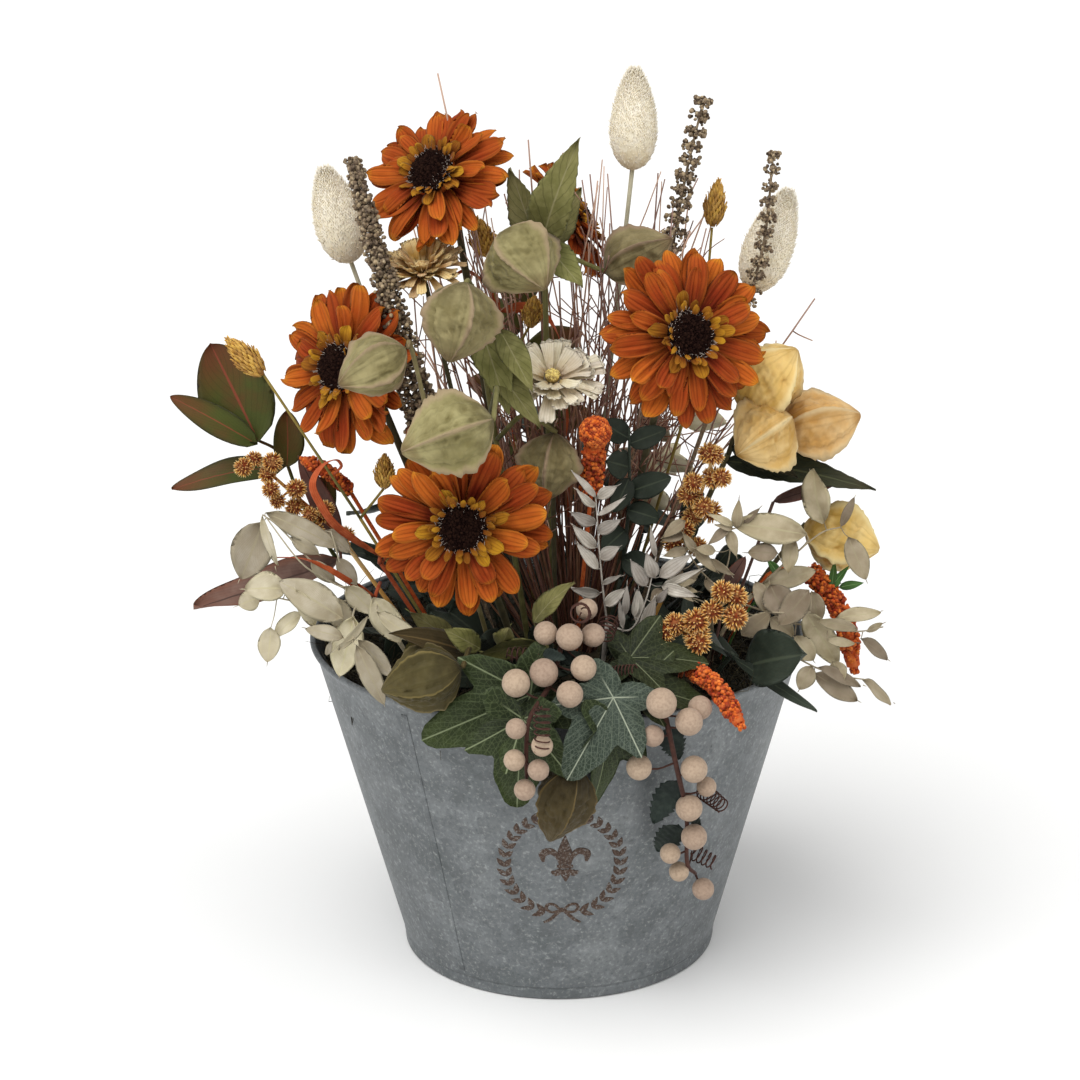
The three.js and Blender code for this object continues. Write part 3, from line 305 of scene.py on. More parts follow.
# %% The finish of thin fibre sheets
def fibre_finish(name, along, mottle, mottle_mm=4.0, mottle_share=0.4, tone=0.35, rough=0.7, sheen=0.05,
                 lines=0, line_colour=None, slant=0.0, line_share=0.35, rib=None, edge=None, bump=0.25,
                 fine_mm=0.7, net=None, rib_half=0.09, shine=0.16, hue=0.012):
    """Colour = ramp(along) under layers of mottling, edge, lines, net and rib, times each copy's own tone.

    lines counts them across the sheet, slant leans them off the rib, net is the width of a mesh in mm,
    rib_half is half the rib's width, and hue is how far a copy's colour may turn. The height for the
    bump is noise of fine_mm plus twice the lines."""
    material, tree = new_material(name)
    look = add_node(tree, "Attribute", attribute_name="look")
    across, v, copy = add_node(tree, "SeparateXYZ", {0: look.outputs["Vector"]}).outputs
    u = add_node(tree, "Math", {0: across}, operation="ABSOLUTE")
    where = add_node(tree, "TexCoord").outputs["Object"]
    cloud = add_node(tree, "TexNoise", {"Vector": where, "Scale": 1000 / mottle_mm, "Detail": 3.0})
    height = add_node(tree, "TexNoise", {"Vector": where, "Scale": 1000 / fine_mm, "Detail": 2.0})
    layers = {"mottle": (cloud, 0.42, 0.68, mottle_share, mottle)}
    if edge:
        layers["edge"] = (u, 0.62, 1.0, 0.75, edge)
    if lines:
        lean = add_node(tree, "Math", {0: u, 1: -slant, 2: v}, operation="MULTIPLY_ADD") if slant else u
        phase = add_node(tree, "Math", {0: lean, 1: TAU * lines}, operation="MULTIPLY")
        wave = add_node(tree, "Math", {0: phase}, operation="COSINE")
        layers["lines"] = (wave, 0.84 if slant else 0.2, 1.0, line_share, line_colour)
    if net:
        to_thread = add_node(tree, "TexVoronoi", {"Vector": where, "Scale": 1000 / net},
                             feature="DISTANCE_TO_EDGE")
        layers["net"] = (to_thread, 0.09, 0.02, line_share, line_colour)
    if rib:
        layers["rib"] = (u, rib_half, 0.3 * rib_half, 0.85, rib)
    colour, masks = paint_layers(tree, add_node(tree, "ValToRGB", {"Fac": v}, stops=along), layers)
    if lines:
        height = add_node(tree, "Math", {0: masks["lines"], 1: 2.0, 2: height}, operation="MULTIPLY_ADD")
    bright = add_node(tree, "MapRange", {"Value": copy, "To Min": 1 - tone, "To Max": 1 + 0.6 * tone})
    turned = add_node(tree, "MapRange", {"Value": copy, "To Min": 0.5 - hue, "To Max": 0.5 + hue})
    toned = add_node(tree, "HueSaturation", {"Hue": turned, "Value": bright, "Color": colour})
    relief = add_node(tree, "Bump", {"Height": height, "Strength": bump, "Distance": 0.4 * MM})
    shader = add_node(tree, "BsdfPrincipled", {
        "Base Color": toned, "Roughness": rough, "Normal": relief, "Sheen Weight": sheen,
        "Specular IOR Level": shine})
    add_node(tree, "OutputMaterial", {"Surface": shader})
    return material


print("helpers ready")

# %% [markdown]
# ## The pot
# The pot is a cone of galvanised steel sheet with a rolled wire bead at the rim and a hem at the
# foot. Hot-dip zinc gives it flat grey-blue crystals some millimetres wide, cloudy oxide and fine
# dark scratches. The wall is one profile turned round the upright axis, as a tinsmith's stake
# would shape it.

# %% Turn the pot
BASE_RADIUS, RIM_RADIUS, POT_HEIGHT, SHEET, BEAD = 85.9, 135.0, 182.5, 1.1, 1.6


def wall_radius(z):
    """The wall's outer radius grows evenly with height."""
    return BASE_RADIUS + (RIM_RADIUS - BASE_RADIUS) * z / POT_HEIGHT


def turned(profile, sides):
    """A ring body: each (r, z) of a closed profile goes round as (r cos, r sin, z)."""
    r, z = np.array(profile, float).T
    angle = TAU * np.arange(sides + 1)[:, None] / sides
    grid = np.stack(np.broadcast_arrays(r * np.cos(angle), r * np.sin(angle), z), -1)
    n = len(r)
    a = (np.arange(sides)[:, None] * n + np.arange(n)).ravel()
    b = (np.arange(sides)[:, None] * n + (np.arange(n) + 1) % n).ravel()
    after = ((np.arange(sides) + 1) % sides)[:, None] * n
    c = (after + (np.arange(n) + 1) % n).ravel()
    d = (after + np.arange(n)).ravel()
    faces = np.concatenate([np.stack([a, d, c], 1), np.stack([a, c, b], 1)])
    points = grid[:-1].reshape(-1, 3)
    look = np.stack([points[:, 2] * 0, points[:, 2] / POT_HEIGHT, points[:, 2] * 0 + 0.5], -1)
    return points, faces, look


def arc(centre, radius, start, stop, count):
    """Points of a round edge, by angle in turns."""
    turn = TAU * np.linspace(start, stop, count)
    return [(centre[0] + radius * np.cos(t), centre[1] + radius * np.sin(t)) for t in turn]


bead_z = POT_HEIGHT - BEAD
wall_profile = [
    (BASE_RADIUS - SHEET, 0.0), (BASE_RADIUS + 0.9, 0.0), (BASE_RADIUS + 1.5, 0.6),
    (BASE_RADIUS + 1.7, 2.4), (BASE_RADIUS + 1.6, 4.4), (wall_radius(5.2) + 0.25, 5.2),
    (wall_radius(5.6) - 0.1, 5.7), (wall_radius(6.6) - 0.1, 6.6),
    (wall_radius(7.4) + 0.35, 7.5), (wall_radius(8.6), 8.7),
    *[(wall_radius(z), z) for z in np.linspace(14, 176, 28)],
    *arc((RIM_RADIUS - 0.2, bead_z), BEAD, -0.17, 0.6, 12),
    *[(wall_radius(z) - SHEET, z) for z in (176, 150, 100, 50, 3)],
    (BASE_RADIUS - 7, 3.0), (BASE_RADIUS - 7, 1.8), (BASE_RADIUS - SHEET, 1.8),
]

# %% [markdown]
# Zinc looks like a dull metal. Voronoi cells 7 mm wide stand for the crystals, a cloud 35 mm wide
# for the oxide, specks of 2.2 mm for dust and pits, and noise stretched sideways, 22 mm long, for
# the scratches that packing and wiping leave.

# %% The zinc finish
def zinc_finish():
    """Crystals shade a ramp of oxide; pale and dark specks and scratches lie over it; oxide is rougher."""
    material, tree = new_material("galvanised_zinc")
    where = add_node(tree, "TexCoord").outputs["Object"]
    warp = add_node(tree, "TexNoise", {"Vector": where, "Scale": 110.0, "Detail": 2.0})
    bent = add_node(tree, "MixRGB", {"Fac": 0.012, "Color1": where, "Color2": warp.outputs["Color"]},
                    blend_type="ADD")
    crystal = add_node(tree, "TexVoronoi", {"Vector": bent, "Scale": 1000 / 7.0, "Randomness": 1.0})
    shade = add_node(tree, "SeparateXYZ", {0: crystal.outputs["Color"]})
    oxide = add_node(tree, "TexNoise", {"Vector": where, "Scale": 1000 / 35, "Detail": 6.0, "Roughness": 0.62})
    speck = add_node(tree, "TexNoise", {"Vector": where, "Scale": 1000 / 2.2, "Detail": 4.0, "Roughness": 0.7})
    strokes = add_node(tree, "Mapping", {
        "Vector": where, "Rotation": (0.0, 0.35, 0.0), "Scale": (1.0, 1.0, 9.0)})
    scratch = add_node(tree, "TexNoise", {
        "Vector": strokes, "Scale": 1000 / 22, "Detail": 5.0, "Roughness": 0.75})
    colour = add_node(tree, "ValToRGB", {"Fac": oxide}, stops=[
        (0.3, "#5c6162"), (0.5, "#6c7072"), (0.7, "#808485")])
    grains = add_node(tree, "MapRange", {"Value": shade, "To Min": 0.86, "To Max": 1.12})
    colour = add_node(tree, "HueSaturation", {"Value": grains, "Color": colour})
    colour, _ = paint_layers(tree, colour, {
        "pale": (speck, 0.54, 0.7, 0.6, "#a7aaa8"),
        "dark": (speck, 0.44, 0.3, 0.6, "#4d5152"),
        "scratched": (scratch, 0.66, 0.72, 0.4, "#505453")})
    rough = add_node(tree, "MapRange", {"Value": oxide, "To Min": 0.42, "To Max": 0.68})
    relief = add_node(tree, "Bump", {"Height": speck, "Strength": 0.25, "Distance": 0.3 * MM})
    shader = add_node(tree, "BsdfPrincipled", {
        "Base Color": colour, "Metallic": 0.45, "Roughness": rough, "Normal": relief})
    add_node(tree, "OutputMaterial", {"Surface": shader})
    return material


ZINC = zinc_finish()
FOLD = 0.6  # edges bent by more than this angle, in radians, stay sharp
pot = piece("zinc_pot", [turned(wall_profile, 192)], ZINC, "zinc", "pot_wall")
disc = sweep([[0, 0, 0.0], [0, 0, 0.75], [0, 0, 1.5]], [82.6, 83.8, 83.6], 96)
bottom = piece("zinc_pot_bottom", [skins(disc)], ZINC, "zinc", "pot_bottom")
for sheet in (pot, bottom):
    sheet.data.set_sharp_from_angle(angle=FOLD)

# %% [markdown]
# Where the sheet's two ends meet, the tinsmith folds them into a flat lap seam. It is a strip
# 4 mm wide that stands 0.3 mm proud of the wall. A faded stencil sits on the front: a laurel
# wreath tied with a bow, round a lily, a pattern that is centuries old. The paint is thinner than
# the strip and is worn through to the zinc. Both are drawn flat, in millimetres round and up the
# wall, and then wrapped.

# %% Wrap flat drawings on the wall
def on_wall(flat, azimuth=0.0, height=0.0):
    """(s, h, proud) to the cone: the angle is s / radius, the radius grows with h."""
    s, h, proud = np.moveaxis(flat, -1, 0)
    z = height + h
    r = wall_radius(z) + proud
    angle = azimuth + s / r
    return np.stack([r * np.sin(angle), -r * np.cos(angle), z], -1)


def wrapped(body, azimuth, height):
    """A body whose points are given flat, as (s, proud, h)."""
    points = body[0][:, [0, 2, 1]]
    return on_wall(points, azimuth, height), body[1], body[2]


def stroke(line, widths, count=14, proud=0.06, thick=0.22):
    """A flat stroke: a sweep of widths along a drawn line, pressed to its thickness."""
    path = course([(s, 0.0, h) for s, h in line], count)
    widths = np.interp(np.linspace(0, 1, count), np.linspace(0, 1, len(widths)), widths)
    grid = sweep(path, widths, 10, (0, 1, 0))
    grid[..., 1] = proud + 0.5 * thick * np.clip(grid[..., 1], -1, 1)
    return skins(grid)


SEAM_AZIMUTH, SEAM_FOOT = np.radians(-37), 10
seam = stroke([(0, 0), (0.4, 80), (0, 164)], [2, 2], 40, proud=0.1, thick=0.5)
piece("zinc_pot_seam", [wrapped(seam, SEAM_AZIMUTH, SEAM_FOOT)], ZINC, "zinc")

# %% [markdown]
# The wreath is pairs of leaves along two branches, the bow two loops with tails, and the lily a
# pointed petal between two that curl. Each is a handful of short strokes, mirrored left and right.

# %% Draw the wreath, the bow and the lily
WREATH_PAIRS, WREATH_HALF, WREATH_RISE = 14, 31, 33


def wreath():
    """Two branches climb an oval; leaf pairs leave them at 36 degrees, each a little smaller."""
    strokes = []
    for side in (-1, 1):
        for k in range(WREATH_PAIRS):
            turn = np.radians(18 + 142 * (k / (WREATH_PAIRS - 1)) ** 0.96)
            centre = np.array([side * WREATH_HALF * np.sin(turn), -WREATH_RISE * np.cos(turn)])
            heading = np.array([side * np.cos(turn), np.sin(turn)])
            for way in (-1, 1):
                lean = np.radians(36) * way
                c, s = np.cos(lean), np.sin(lean)
                aim = np.array([c * heading[0] - s * heading[1], s * heading[0] + c * heading[1]])
                size = 7.4 - 0.12 * k
                strokes.append(stroke([centre, centre + size * aim * 0.5, centre + size * aim],
                                      [0.3, 1.8, 1.4, 0.2], 6))
    return strokes


def mirrored(*drawn):
    """Each (line, widths, count) as a stroke on the left, then on the right."""
    return [stroke([(side * s, h) for s, h in line], widths, count)
            for side in (-1, 1) for line, widths, count in drawn]


def bow():
    """A knot, two round loops, two tails and two ribbon ends."""
    return [stroke([(-1.3, 0), (1.3, 0)], [1.4, 1.6, 1.4], 5), *mirrored(
        ([(1, 0), (4, 3.4), (7.4, 3.6), (8.4, 0.6), (5.4, -1.6), (1.4, -0.4)], [0.8, 1.0, 0.8], 22),
        ([(1, -0.8), (3.6, -3.4), (6.6, -6.6), (9.8, -8.6)], [0.8, 1.1, 0.7], 12),
        ([(8, 0.4), (10.6, -0.6), (13.4, -1.8)], [0.6, 1.0, 0.8], 8))]


def lily():
    """A pointed upright petal, a band, a lower point, two petals that curl out and down, and two feet."""
    return [stroke([(0, -3), (0, 3), (0, 8.5), (0.2, 16)], [1.1, 1.9, 4.0, 2.5, 0.3], 18),
            stroke([(-4.2, -4), (0, -4.4), (4.4, -4)], [1.0, 1.3, 1.0], 8),
            stroke([(0, -6), (0.3, -9.5), (0.4, -14)], [1.3, 2.7, 0.4], 10), *mirrored(
        ([(2.2, -3), (3.6, 2.2), (7.4, 5.8), (11.6, 4), (11.4, -1.2)], [1.0, 1.5, 2.1, 2.4, 0.7], 20),
        ([(1.8, -6), (4.6, -8.4), (7.2, -7.4)], [1.2, 2.3, 0.7], 10))]


def paint_finish():
    """Ramp of brown paint over noise: it is broken by 1.3 mm patches where the zinc shows through."""
    material, tree = new_material("worn_stencil_paint")
    where = add_node(tree, "TexCoord").outputs["Object"]
    worn = add_node(tree, "TexNoise", {"Vector": where, "Scale": 1000 / 1.3, "Detail": 4.0, "Roughness": 0.7})
    colour = add_node(tree, "ValToRGB", {"Fac": worn}, stops=[
        (0.4, "#37251b"), (0.52, "#4d392c"), (0.58, "#665a50"), (0.64, "#787c7d")])
    shader = add_node(tree, "BsdfPrincipled", {"Base Color": colour, "Roughness": 0.72, "Metallic": 0.1})
    add_node(tree, "OutputMaterial", {"Surface": shader})
    return material


def moved(bodies, s, h):
    """Shifts flat strokes on the drawing."""
    return [(points + [s, 0, h], faces, look) for points, faces, look in bodies]


drawing = moved(wreath(), 2.0, 90) + moved(bow(), 1.6, 60.5) + moved(lily(), 3.2, 93.5)
piece("pot_stencil", [wrapped(body, 0.0, 0.0) for body in drawing], paint_finish(), "zinc")

# %% [markdown]
# ## Moss
# Preserved moss and sisal hide the foam. It is a springy tangle of dark fibres, so a lumpy bed
# carries thousands of short bent fibres. Each fibre has only three sides. Its finish is nearly
# black, with no shine: the moss is dark, and the darkness also paints the shade deep in the pot's
# mouth. The foam below keeps its plain block and gets the dull green of floral foam, with cells of 1.2 mm.

# %% Lay the moss
FOAM_TOP, BED_RADIUS = 165.0, 128
# Nearly black: the moss's own dark colour, and painted shade for the deep pot mouth.
MOSS = fibre_finish("preserved_moss", [(0, "#1d1a13"), (1, "#3a3222")], "#4a4630", 3.0, 0.5, 0.6, 0.95)


def moss_fibres(count, radius, z, reach, seed, thick=0.35):
    """Fibres: a start on a ring of the bed, then a step out and up, then a bend, on a smooth line."""
    rng = np.random.default_rng(seed)
    angle = rng.uniform(0, TAU, count)
    r = rng.uniform(*radius, count)
    start = np.stack([r * np.cos(angle), r * np.sin(angle), rng.uniform(*z, count)], -1)
    step = unit(rng.normal(size=(count, 3)) * [1, 1, 0.45] + [0, 0, 0.35]) * rng.uniform(*reach, (count, 1))
    bend = np.cross(step, rng.normal(size=(count, 3))) * 0.35
    t = np.linspace(0, 1, 5)[None, :, None]
    path = start[:, None] + step[:, None] * t + bend[:, None] * np.sin(np.pi * t)
    path[..., 2] -= 3 * t[..., 0] ** 2
    rim = np.hypot(path[..., 0], path[..., 1])
    low = (rim > BED_RADIUS) & (path[..., 2] < POT_HEIGHT + 2)
    path[..., :2] *= np.where(low, BED_RADIUS / np.maximum(rim, 1), 1)[..., None]
    return skins(sweep(path, thick * np.array([1, 1, 0.8, 0.6, 0.3])[None], 3), rng.uniform(0, 1, count))


def moss_bed():
    """A shallow mound: the height falls from the middle and swells by ripples of 16 mm and 6 mm."""
    r = np.concatenate([np.linspace(6, 128.5, 34), np.linspace(127, 6, 6)])[:, None]
    top = (np.arange(40) < 34)[:, None]
    angle = TAU * np.arange(90)[None] / 90
    flat = np.stack(np.broadcast_arrays(r * np.cos(angle), r * np.sin(angle), r * 0), -1)
    swell = 3.4 * ripple(flat, 16, 3) + 2.2 * ripple(flat, 6, 4)
    s = r / BED_RADIUS
    flat[..., 2] = np.where(top, 171 + 4 * np.clip(1 - s, 0, 1) + swell - 9 * s**8, FOAM_TOP + 0.8)
    return skins(flat[::-1])


piece("moss_cushion", [moss_bed()], MOSS, "moss", "moss_ring")
piece("moss_fibres", [
    moss_fibres(2600, (96, 128), (166, 176), (8, 22), 11),
    moss_fibres(1500, (10, 100), (168, 174), (8, 18), 12),
    moss_fibres(260, (118, 127), (172, 182), (14, 30), 13, 0.3),
], MOSS, "moss")
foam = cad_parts["foam_block"].data.materials
foam.clear()
foam.append(fibre_finish("floral_foam", [(0, "#3c4a2e"), (1, "#46553a")], "#2f3b26", 1.2, 0.5, 0, 0.95))
print("the foam keeps its own solid")

# %% [markdown]
# ## Stems
# Every straight stem points back to one place deep in the foam, as a florist pushes them in, and
# starts in its own hole. A front stem starts at a chosen foot and bends over the rim. The stems are
# wires wrapped in olive floral tape, which is waxed paper: matt, and a little uneven in thickness.

# %% Stem lines
FOCUS = np.array([0.0, 0.0, 60.0])
HOLE_FLOOR = 143.5
STEEP = 0.75  # the least upward share of a stem's direction where it leaves the foam


def stem_line(head, foot=None, via=(), count=14):
    """The line from the hole's floor to head: straight from the focus, or through foot and via."""
    head = np.asarray(head, float)
    if foot is None:
        low = FOCUS + (head - FOCUS) * (HOLE_FLOOR - FOCUS[2]) / (head[2] - FOCUS[2])
        return course([low, *via, head], count)
    top = np.array([*foot, FOAM_TOP])
    slope = unit(np.asarray(via[0] if len(via) else head, float) - top)
    if slope[2] < STEEP:
        slope = np.append(unit(slope[:2]) * 0.66, STEEP)
    low = top - slope * (FOAM_TOP - HOLE_FLOOR) / slope[2]
    return course([low, top, *via, head], count)


def rod(path, thick, thin=None, sides=8, tone=0.5, bumps=0.06, seed=1):
    """A stem with slightly uneven thickness."""
    rows = len(path)
    luck = np.random.default_rng(seed).uniform(-1, 1, rows)
    radii = np.linspace(thick, thick if thin is None else thin, rows) * (1 + bumps * luck)
    return skins(sweep(path, radii[None], sides), tone)


def stem(thick, *way):
    """A rod that stands in its own hole and goes the way that stem_line is given."""
    return rod(stem_line(*way), thick)


def wire(points, count, *thick):
    """A rod of count rows on the smooth line through a few points."""
    return rod(course(points, count), *thick)


STEM_OLIVE = fibre_finish("wrapped_stem", [(0, "#433f2b"), (1, "#5c563c")], "#37331f", 3.0, 0.5, 0.2, 0.7)

# %% [markdown]
# ## Gerberas
# A silk gerbera has three rings of petals cut from dyed cloth, the last one sparse. The heat press
# leaves uneven furrows along each petal, and the dye fades to gold at its tip. Over them stand some
# golden petals, two rings of small florets and a dark, furry disc. Each petal is a flat skin; its
# relief adds the furrows, the fall of the tip and its own twist.

# %% Petal shape
def petal_outline(v):
    """Narrow root, widest at two thirds, round tip."""
    return (0.4 + 0.6 * np.sin(0.5 * np.pi * np.minimum(v / 0.68, 1))) * (
        1 - np.clip((v - 0.72) / 0.28, 0, 1) ** 2.1) ** 0.56


def petal_relief(u, v, length, half, luck):
    """Furrows + fall of the tip + bow + twist + rolled sides, each with the copy's own luck."""
    furrow = np.cos((3.4 + luck[0]) * np.pi * u + 2 * luck[3]) + 0.5 * np.cos(7 * u + 5 * v + 3 * luck[1])
    furrow = -0.15 * half * furrow * np.minimum(1, 3 * v) * np.minimum(1, 4 * (1 - v))
    fall = -0.10 * length * v**2 * (1 + 0.9 * luck[0]) + 0.05 * length * np.sin(np.pi * v) * luck[1]
    roll = half * (0.10 + 0.34 * luck[2]) * u**2 * v
    curl = 0.14 * length * luck[3] * np.clip(v - 0.6, 0, 1) ** 2 * 6
    return furrow + fall + roll + curl + 0.45 * half * u * v * luck[1]

# %% [markdown]
# The petals are woven polyester, dyed rust and singed at the edge: dull, with a golden rim. Fine
# dark lines along them, and along the golden petals, are painted shade for their furrows. The golden
# petals are the same cloth in another bath. The disc is flocked plush, which swallows light, and its
# flecks are bare, pale fibre ends.

# %% Gerbera finishes
# The dark lines along both kinds of petal are painted shade for their furrows.
PETAL_SILK = fibre_finish(
    "dyed_silk_petal", [(0, "#2e0d05"), (0.25, "#70280c"), (0.6, "#a54518"), (0.9, "#b0521c"), (1, "#c27a22")],
    "#bd6522", 12.0, 0.45, 0.3, 0.7, sheen=0.02, lines=2.6, line_colour="#5c1e08", line_share=0.36,
    edge="#a85a1c", bump=0.5, shine=0.08, hue=0.007)
GOLD_SILK = fibre_finish(
    "golden_silk_petal", [(0, "#4a2408"), (0.45, "#8c5212"), (1, "#b37d1e")], "#8a4c12", 4.0, 0.5, 0.35, 0.65,
    lines=2.5, line_colour="#6b3a0c", line_share=0.4, shine=0.08)
DISC_PLUSH = fibre_finish(
    "dark_disc_plush", [(0, "#0a0504"), (1, "#1f100c")], "#2c1812", 1.5, 0.3, 0.6, 0.9, sheen=0.0, shine=0.05)
FLECK = fibre_finish("pale_disc_flecks", [(0, "#6b564b"), (1, "#d5cabf")], "#a8968a", 2.0, 0.4, 0.4, 0.8)

# %% [markdown]
# A ring of petals is one call: roots and tips on two circles, a little luck in each, and the
# flower's own axis to face. Discs are domes of grains on the golden spiral.

# %% Petal rings, domes of grains, and hairs
def ring_of(centre, axes, count, root, tip, half, outline, relief, seed, turn=0.0, jitter=0.12, **how):
    """Blades round a flower. root and tip are (radius, height on the normal); the normal is axes[1]."""
    rng = np.random.default_rng(seed)
    x, y, z = axes
    angle = TAU * (np.arange(count) + turn) / count + rng.uniform(-1, 1, count) * jitter
    out = np.cos(angle)[:, None] * x + np.sin(angle)[:, None] * z
    reach = tip[0] * (1 + rng.uniform(-0.09, 0.04, count))[:, None]
    rise = (tip[1] + rng.uniform(-0.07, 0.07, count) * tip[0])[:, None]
    roots = centre + root[0] * out + root[1] * y
    tips = centre + reach * out + rise * y
    return blades(roots, tips, y, half * rng.uniform(0.8, 1.1, count), outline, relief, seed=seed + 50, **how)


def dome(centre, axes, radius, height, count, size, seed, squash=1.6):
    """Grains on a dome: on the spiral, with radius the root of the share and height 1 - radius squared."""
    share, angle = spiral(count)
    r = np.sqrt(share)
    x, y, z = axes
    lift = height * (1 - r**2)
    places = (centre + radius * (r * np.cos(angle))[:, None] * x
              + radius * (r * np.sin(angle))[:, None] * z + lift[:, None] * y)
    rng = np.random.default_rng(seed)
    return balls(places, size * rng.uniform(0.7, 1.25, count), 3, 6, seed, squash,
                 y + 0.5 * rng.normal(size=(count, 3)))


def spikes(starts, ways, lengths, thick, seed, sides=3):
    """Straight hairs that taper from thick to a point."""
    starts, ways = np.atleast_2d(starts), unit(ways)
    lengths = np.broadcast_to(lengths, len(starts))[:, None, None]
    t = np.array([0, 0.55, 1])[None, :, None]
    path = starts[:, None] + ways[:, None] * lengths * t
    tone = np.random.default_rng(seed).uniform(0, 1, len(starts))
    return skins(sweep(path, np.array([1, 0.8, 0.12])[None] * thick, sides), tone)


def turned_on(start, normal, profile, sides):
    """A round body on an axis: each (height, radius) of the profile is a ring square to the normal."""
    return skins(sweep([start + height * normal for height, _ in profile], [r for _, r in profile], sides))

# %% [markdown]
# The five blooms differ in place, direction and size only. Each ring in the tables below gives its
# count, the height of its roots, the reach and height of its tips, half a petal's width, a step of
# the seed, and its turn and jitter. Cloth reaches and widths are shares of the bloom's radius.

# %% Five gerberas
GERBERAS = {
    "front": dict(at=(-48, -116, 279), facing=(0, -1, 0.1), radius=46, via=[(-26, -62, 205)]),
    "top_left": dict(at=(-65, -15, 442), facing=(-0.45, -0.65, 0.6), radius=42, via=()),
    "left": dict(at=(-114, -55, 347), facing=(-0.65, -0.72, 0.25), radius=46, via=()),
    "right": dict(at=(69, -70, 367), facing=(0.35, -0.85, 0.3), radius=46, via=()),
    "back": dict(at=(14, 36, 408), facing=(0.85, 0.1, 0.45), radius=37, via=()),
}
CLOTH_RINGS = [(17, -8.5, 1.0, -8, 0.140, 0, 0, 0.1), (16, -6.2, 0.93, -3.2, 0.134, 1, 0.5, 0.12),
               (7, -4, 0.76, 1, 0.118, 8, 0.3, 0.5)]
FLORET_RINGS = [(15, 9.5, -2, 17.5, 4, 2.2, 3, 0, 0.2), (11, 9, -1, 15, 5, 1.7, 4, 0.5, 0.3)]
CUP = [(-10, 7), (-7, 12.5), (-3.6, 12.5), (-3, 9)]
PLUSH = [(0, 12.4), (1.5, 12.6), (4, 10), (5.6, 4)]
CALYX = [(0, 7.4), (-3, 7.0), (-6, 4.6), (-9, 2.2)]
FLECKS = 160

flecks = []
for index, (name, flower) in enumerate(GERBERAS.items()):
    normal = unit(flower["facing"])
    axes = frame_of(normal, (0.2, -0.3, 1))
    centre = np.array(flower["at"], float)
    size, seed = flower["radius"], 10 * index + 1
    node = f"gerbera_{name}"
    piece(f"{node}_cloth_petals", [
        *[ring_of(centre, axes, count, (9, low), (reach * size, high), half * size, petal_outline, petal_relief,
                  seed + step, turn, jitter, rows=14, around=24, thick=0.4, sway=0.09)
          for count, low, reach, high, half, step, turn, jitter in CLOTH_RINGS],
        turned_on(centre, normal, CUP, 20),
    ], PETAL_SILK, "rust_silk", f"{node}_petals")
    piece(f"{node}_gold_petals", [
        ring_of(centre, axes, 6, (9, -3), (0.52 * size, 2.5), 0.085 * size, petal_outline, petal_relief,
                seed + 2, 0.2, 0.6, rows=10, around=16),
        *[ring_of(centre, axes, count, (root, low), (reach, high), half, petal_outline, petal_relief,
                  seed + step, turn, jitter, rows=8, around=12)
          for count, root, low, reach, high, half, step, turn, jitter in FLORET_RINGS],
    ], GOLD_SILK, "rust_silk")
    core = centre - 2.4 * normal
    piece(f"{node}_plush_disc", [
        turned_on(core, normal, PLUSH, 24),
        dome(core + 2.2 * normal, axes, 12.6, 3.6, 420, 0.8, seed + 5),
    ], DISC_PLUSH, "flower_disc", f"{node}_heart")
    rng = np.random.default_rng(seed + 6)
    turn, r = rng.uniform(0, TAU, FLECKS), rng.uniform(8.4, 13, FLECKS)
    out = np.cos(turn)[:, None] * axes[0] + np.sin(turn)[:, None] * axes[2]
    flecks.append(spikes(core + r[:, None] * out + 2.4 * normal, normal + 0.5 * out
                         + 0.5 * rng.normal(size=(FLECKS, 3)), rng.uniform(1.8, 4.0, FLECKS), 0.24, seed))
    back = centre - 10.3 * normal
    end = back - 6 * normal
    low = stem_line(end - 8 * normal, via=flower["via"])
    path = course(np.concatenate([low[:-1:3], [end - 9 * normal, end + 4 * normal]]), 26)
    piece(f"{node}_wired_stem", [
        rod(path, 2.0, seed=seed),
        turned_on(back, normal, CALYX, 14),
        ring_of(back, axes, 9, (3, -4), (10.5, 0.2), 2.6, petal_outline, petal_relief, seed + 7,
                rows=6, around=8),
    ], STEM_OLIVE, "olive_stem", f"{node}_stem")
piece("gerbera_disc_flecks", flecks, FLECK, "velvet_cream")

# %% [markdown]
# ## Paper lanterns
# The lantern pods are crinkled paper calyxes. Five panels puff out between sharp seams, and a thin
# beak closes the tip. The section of the skin rises to a crest wherever sin(n a / 2) is zero, and
# that number, kept as the look's first value, lets the finish paint the seams.

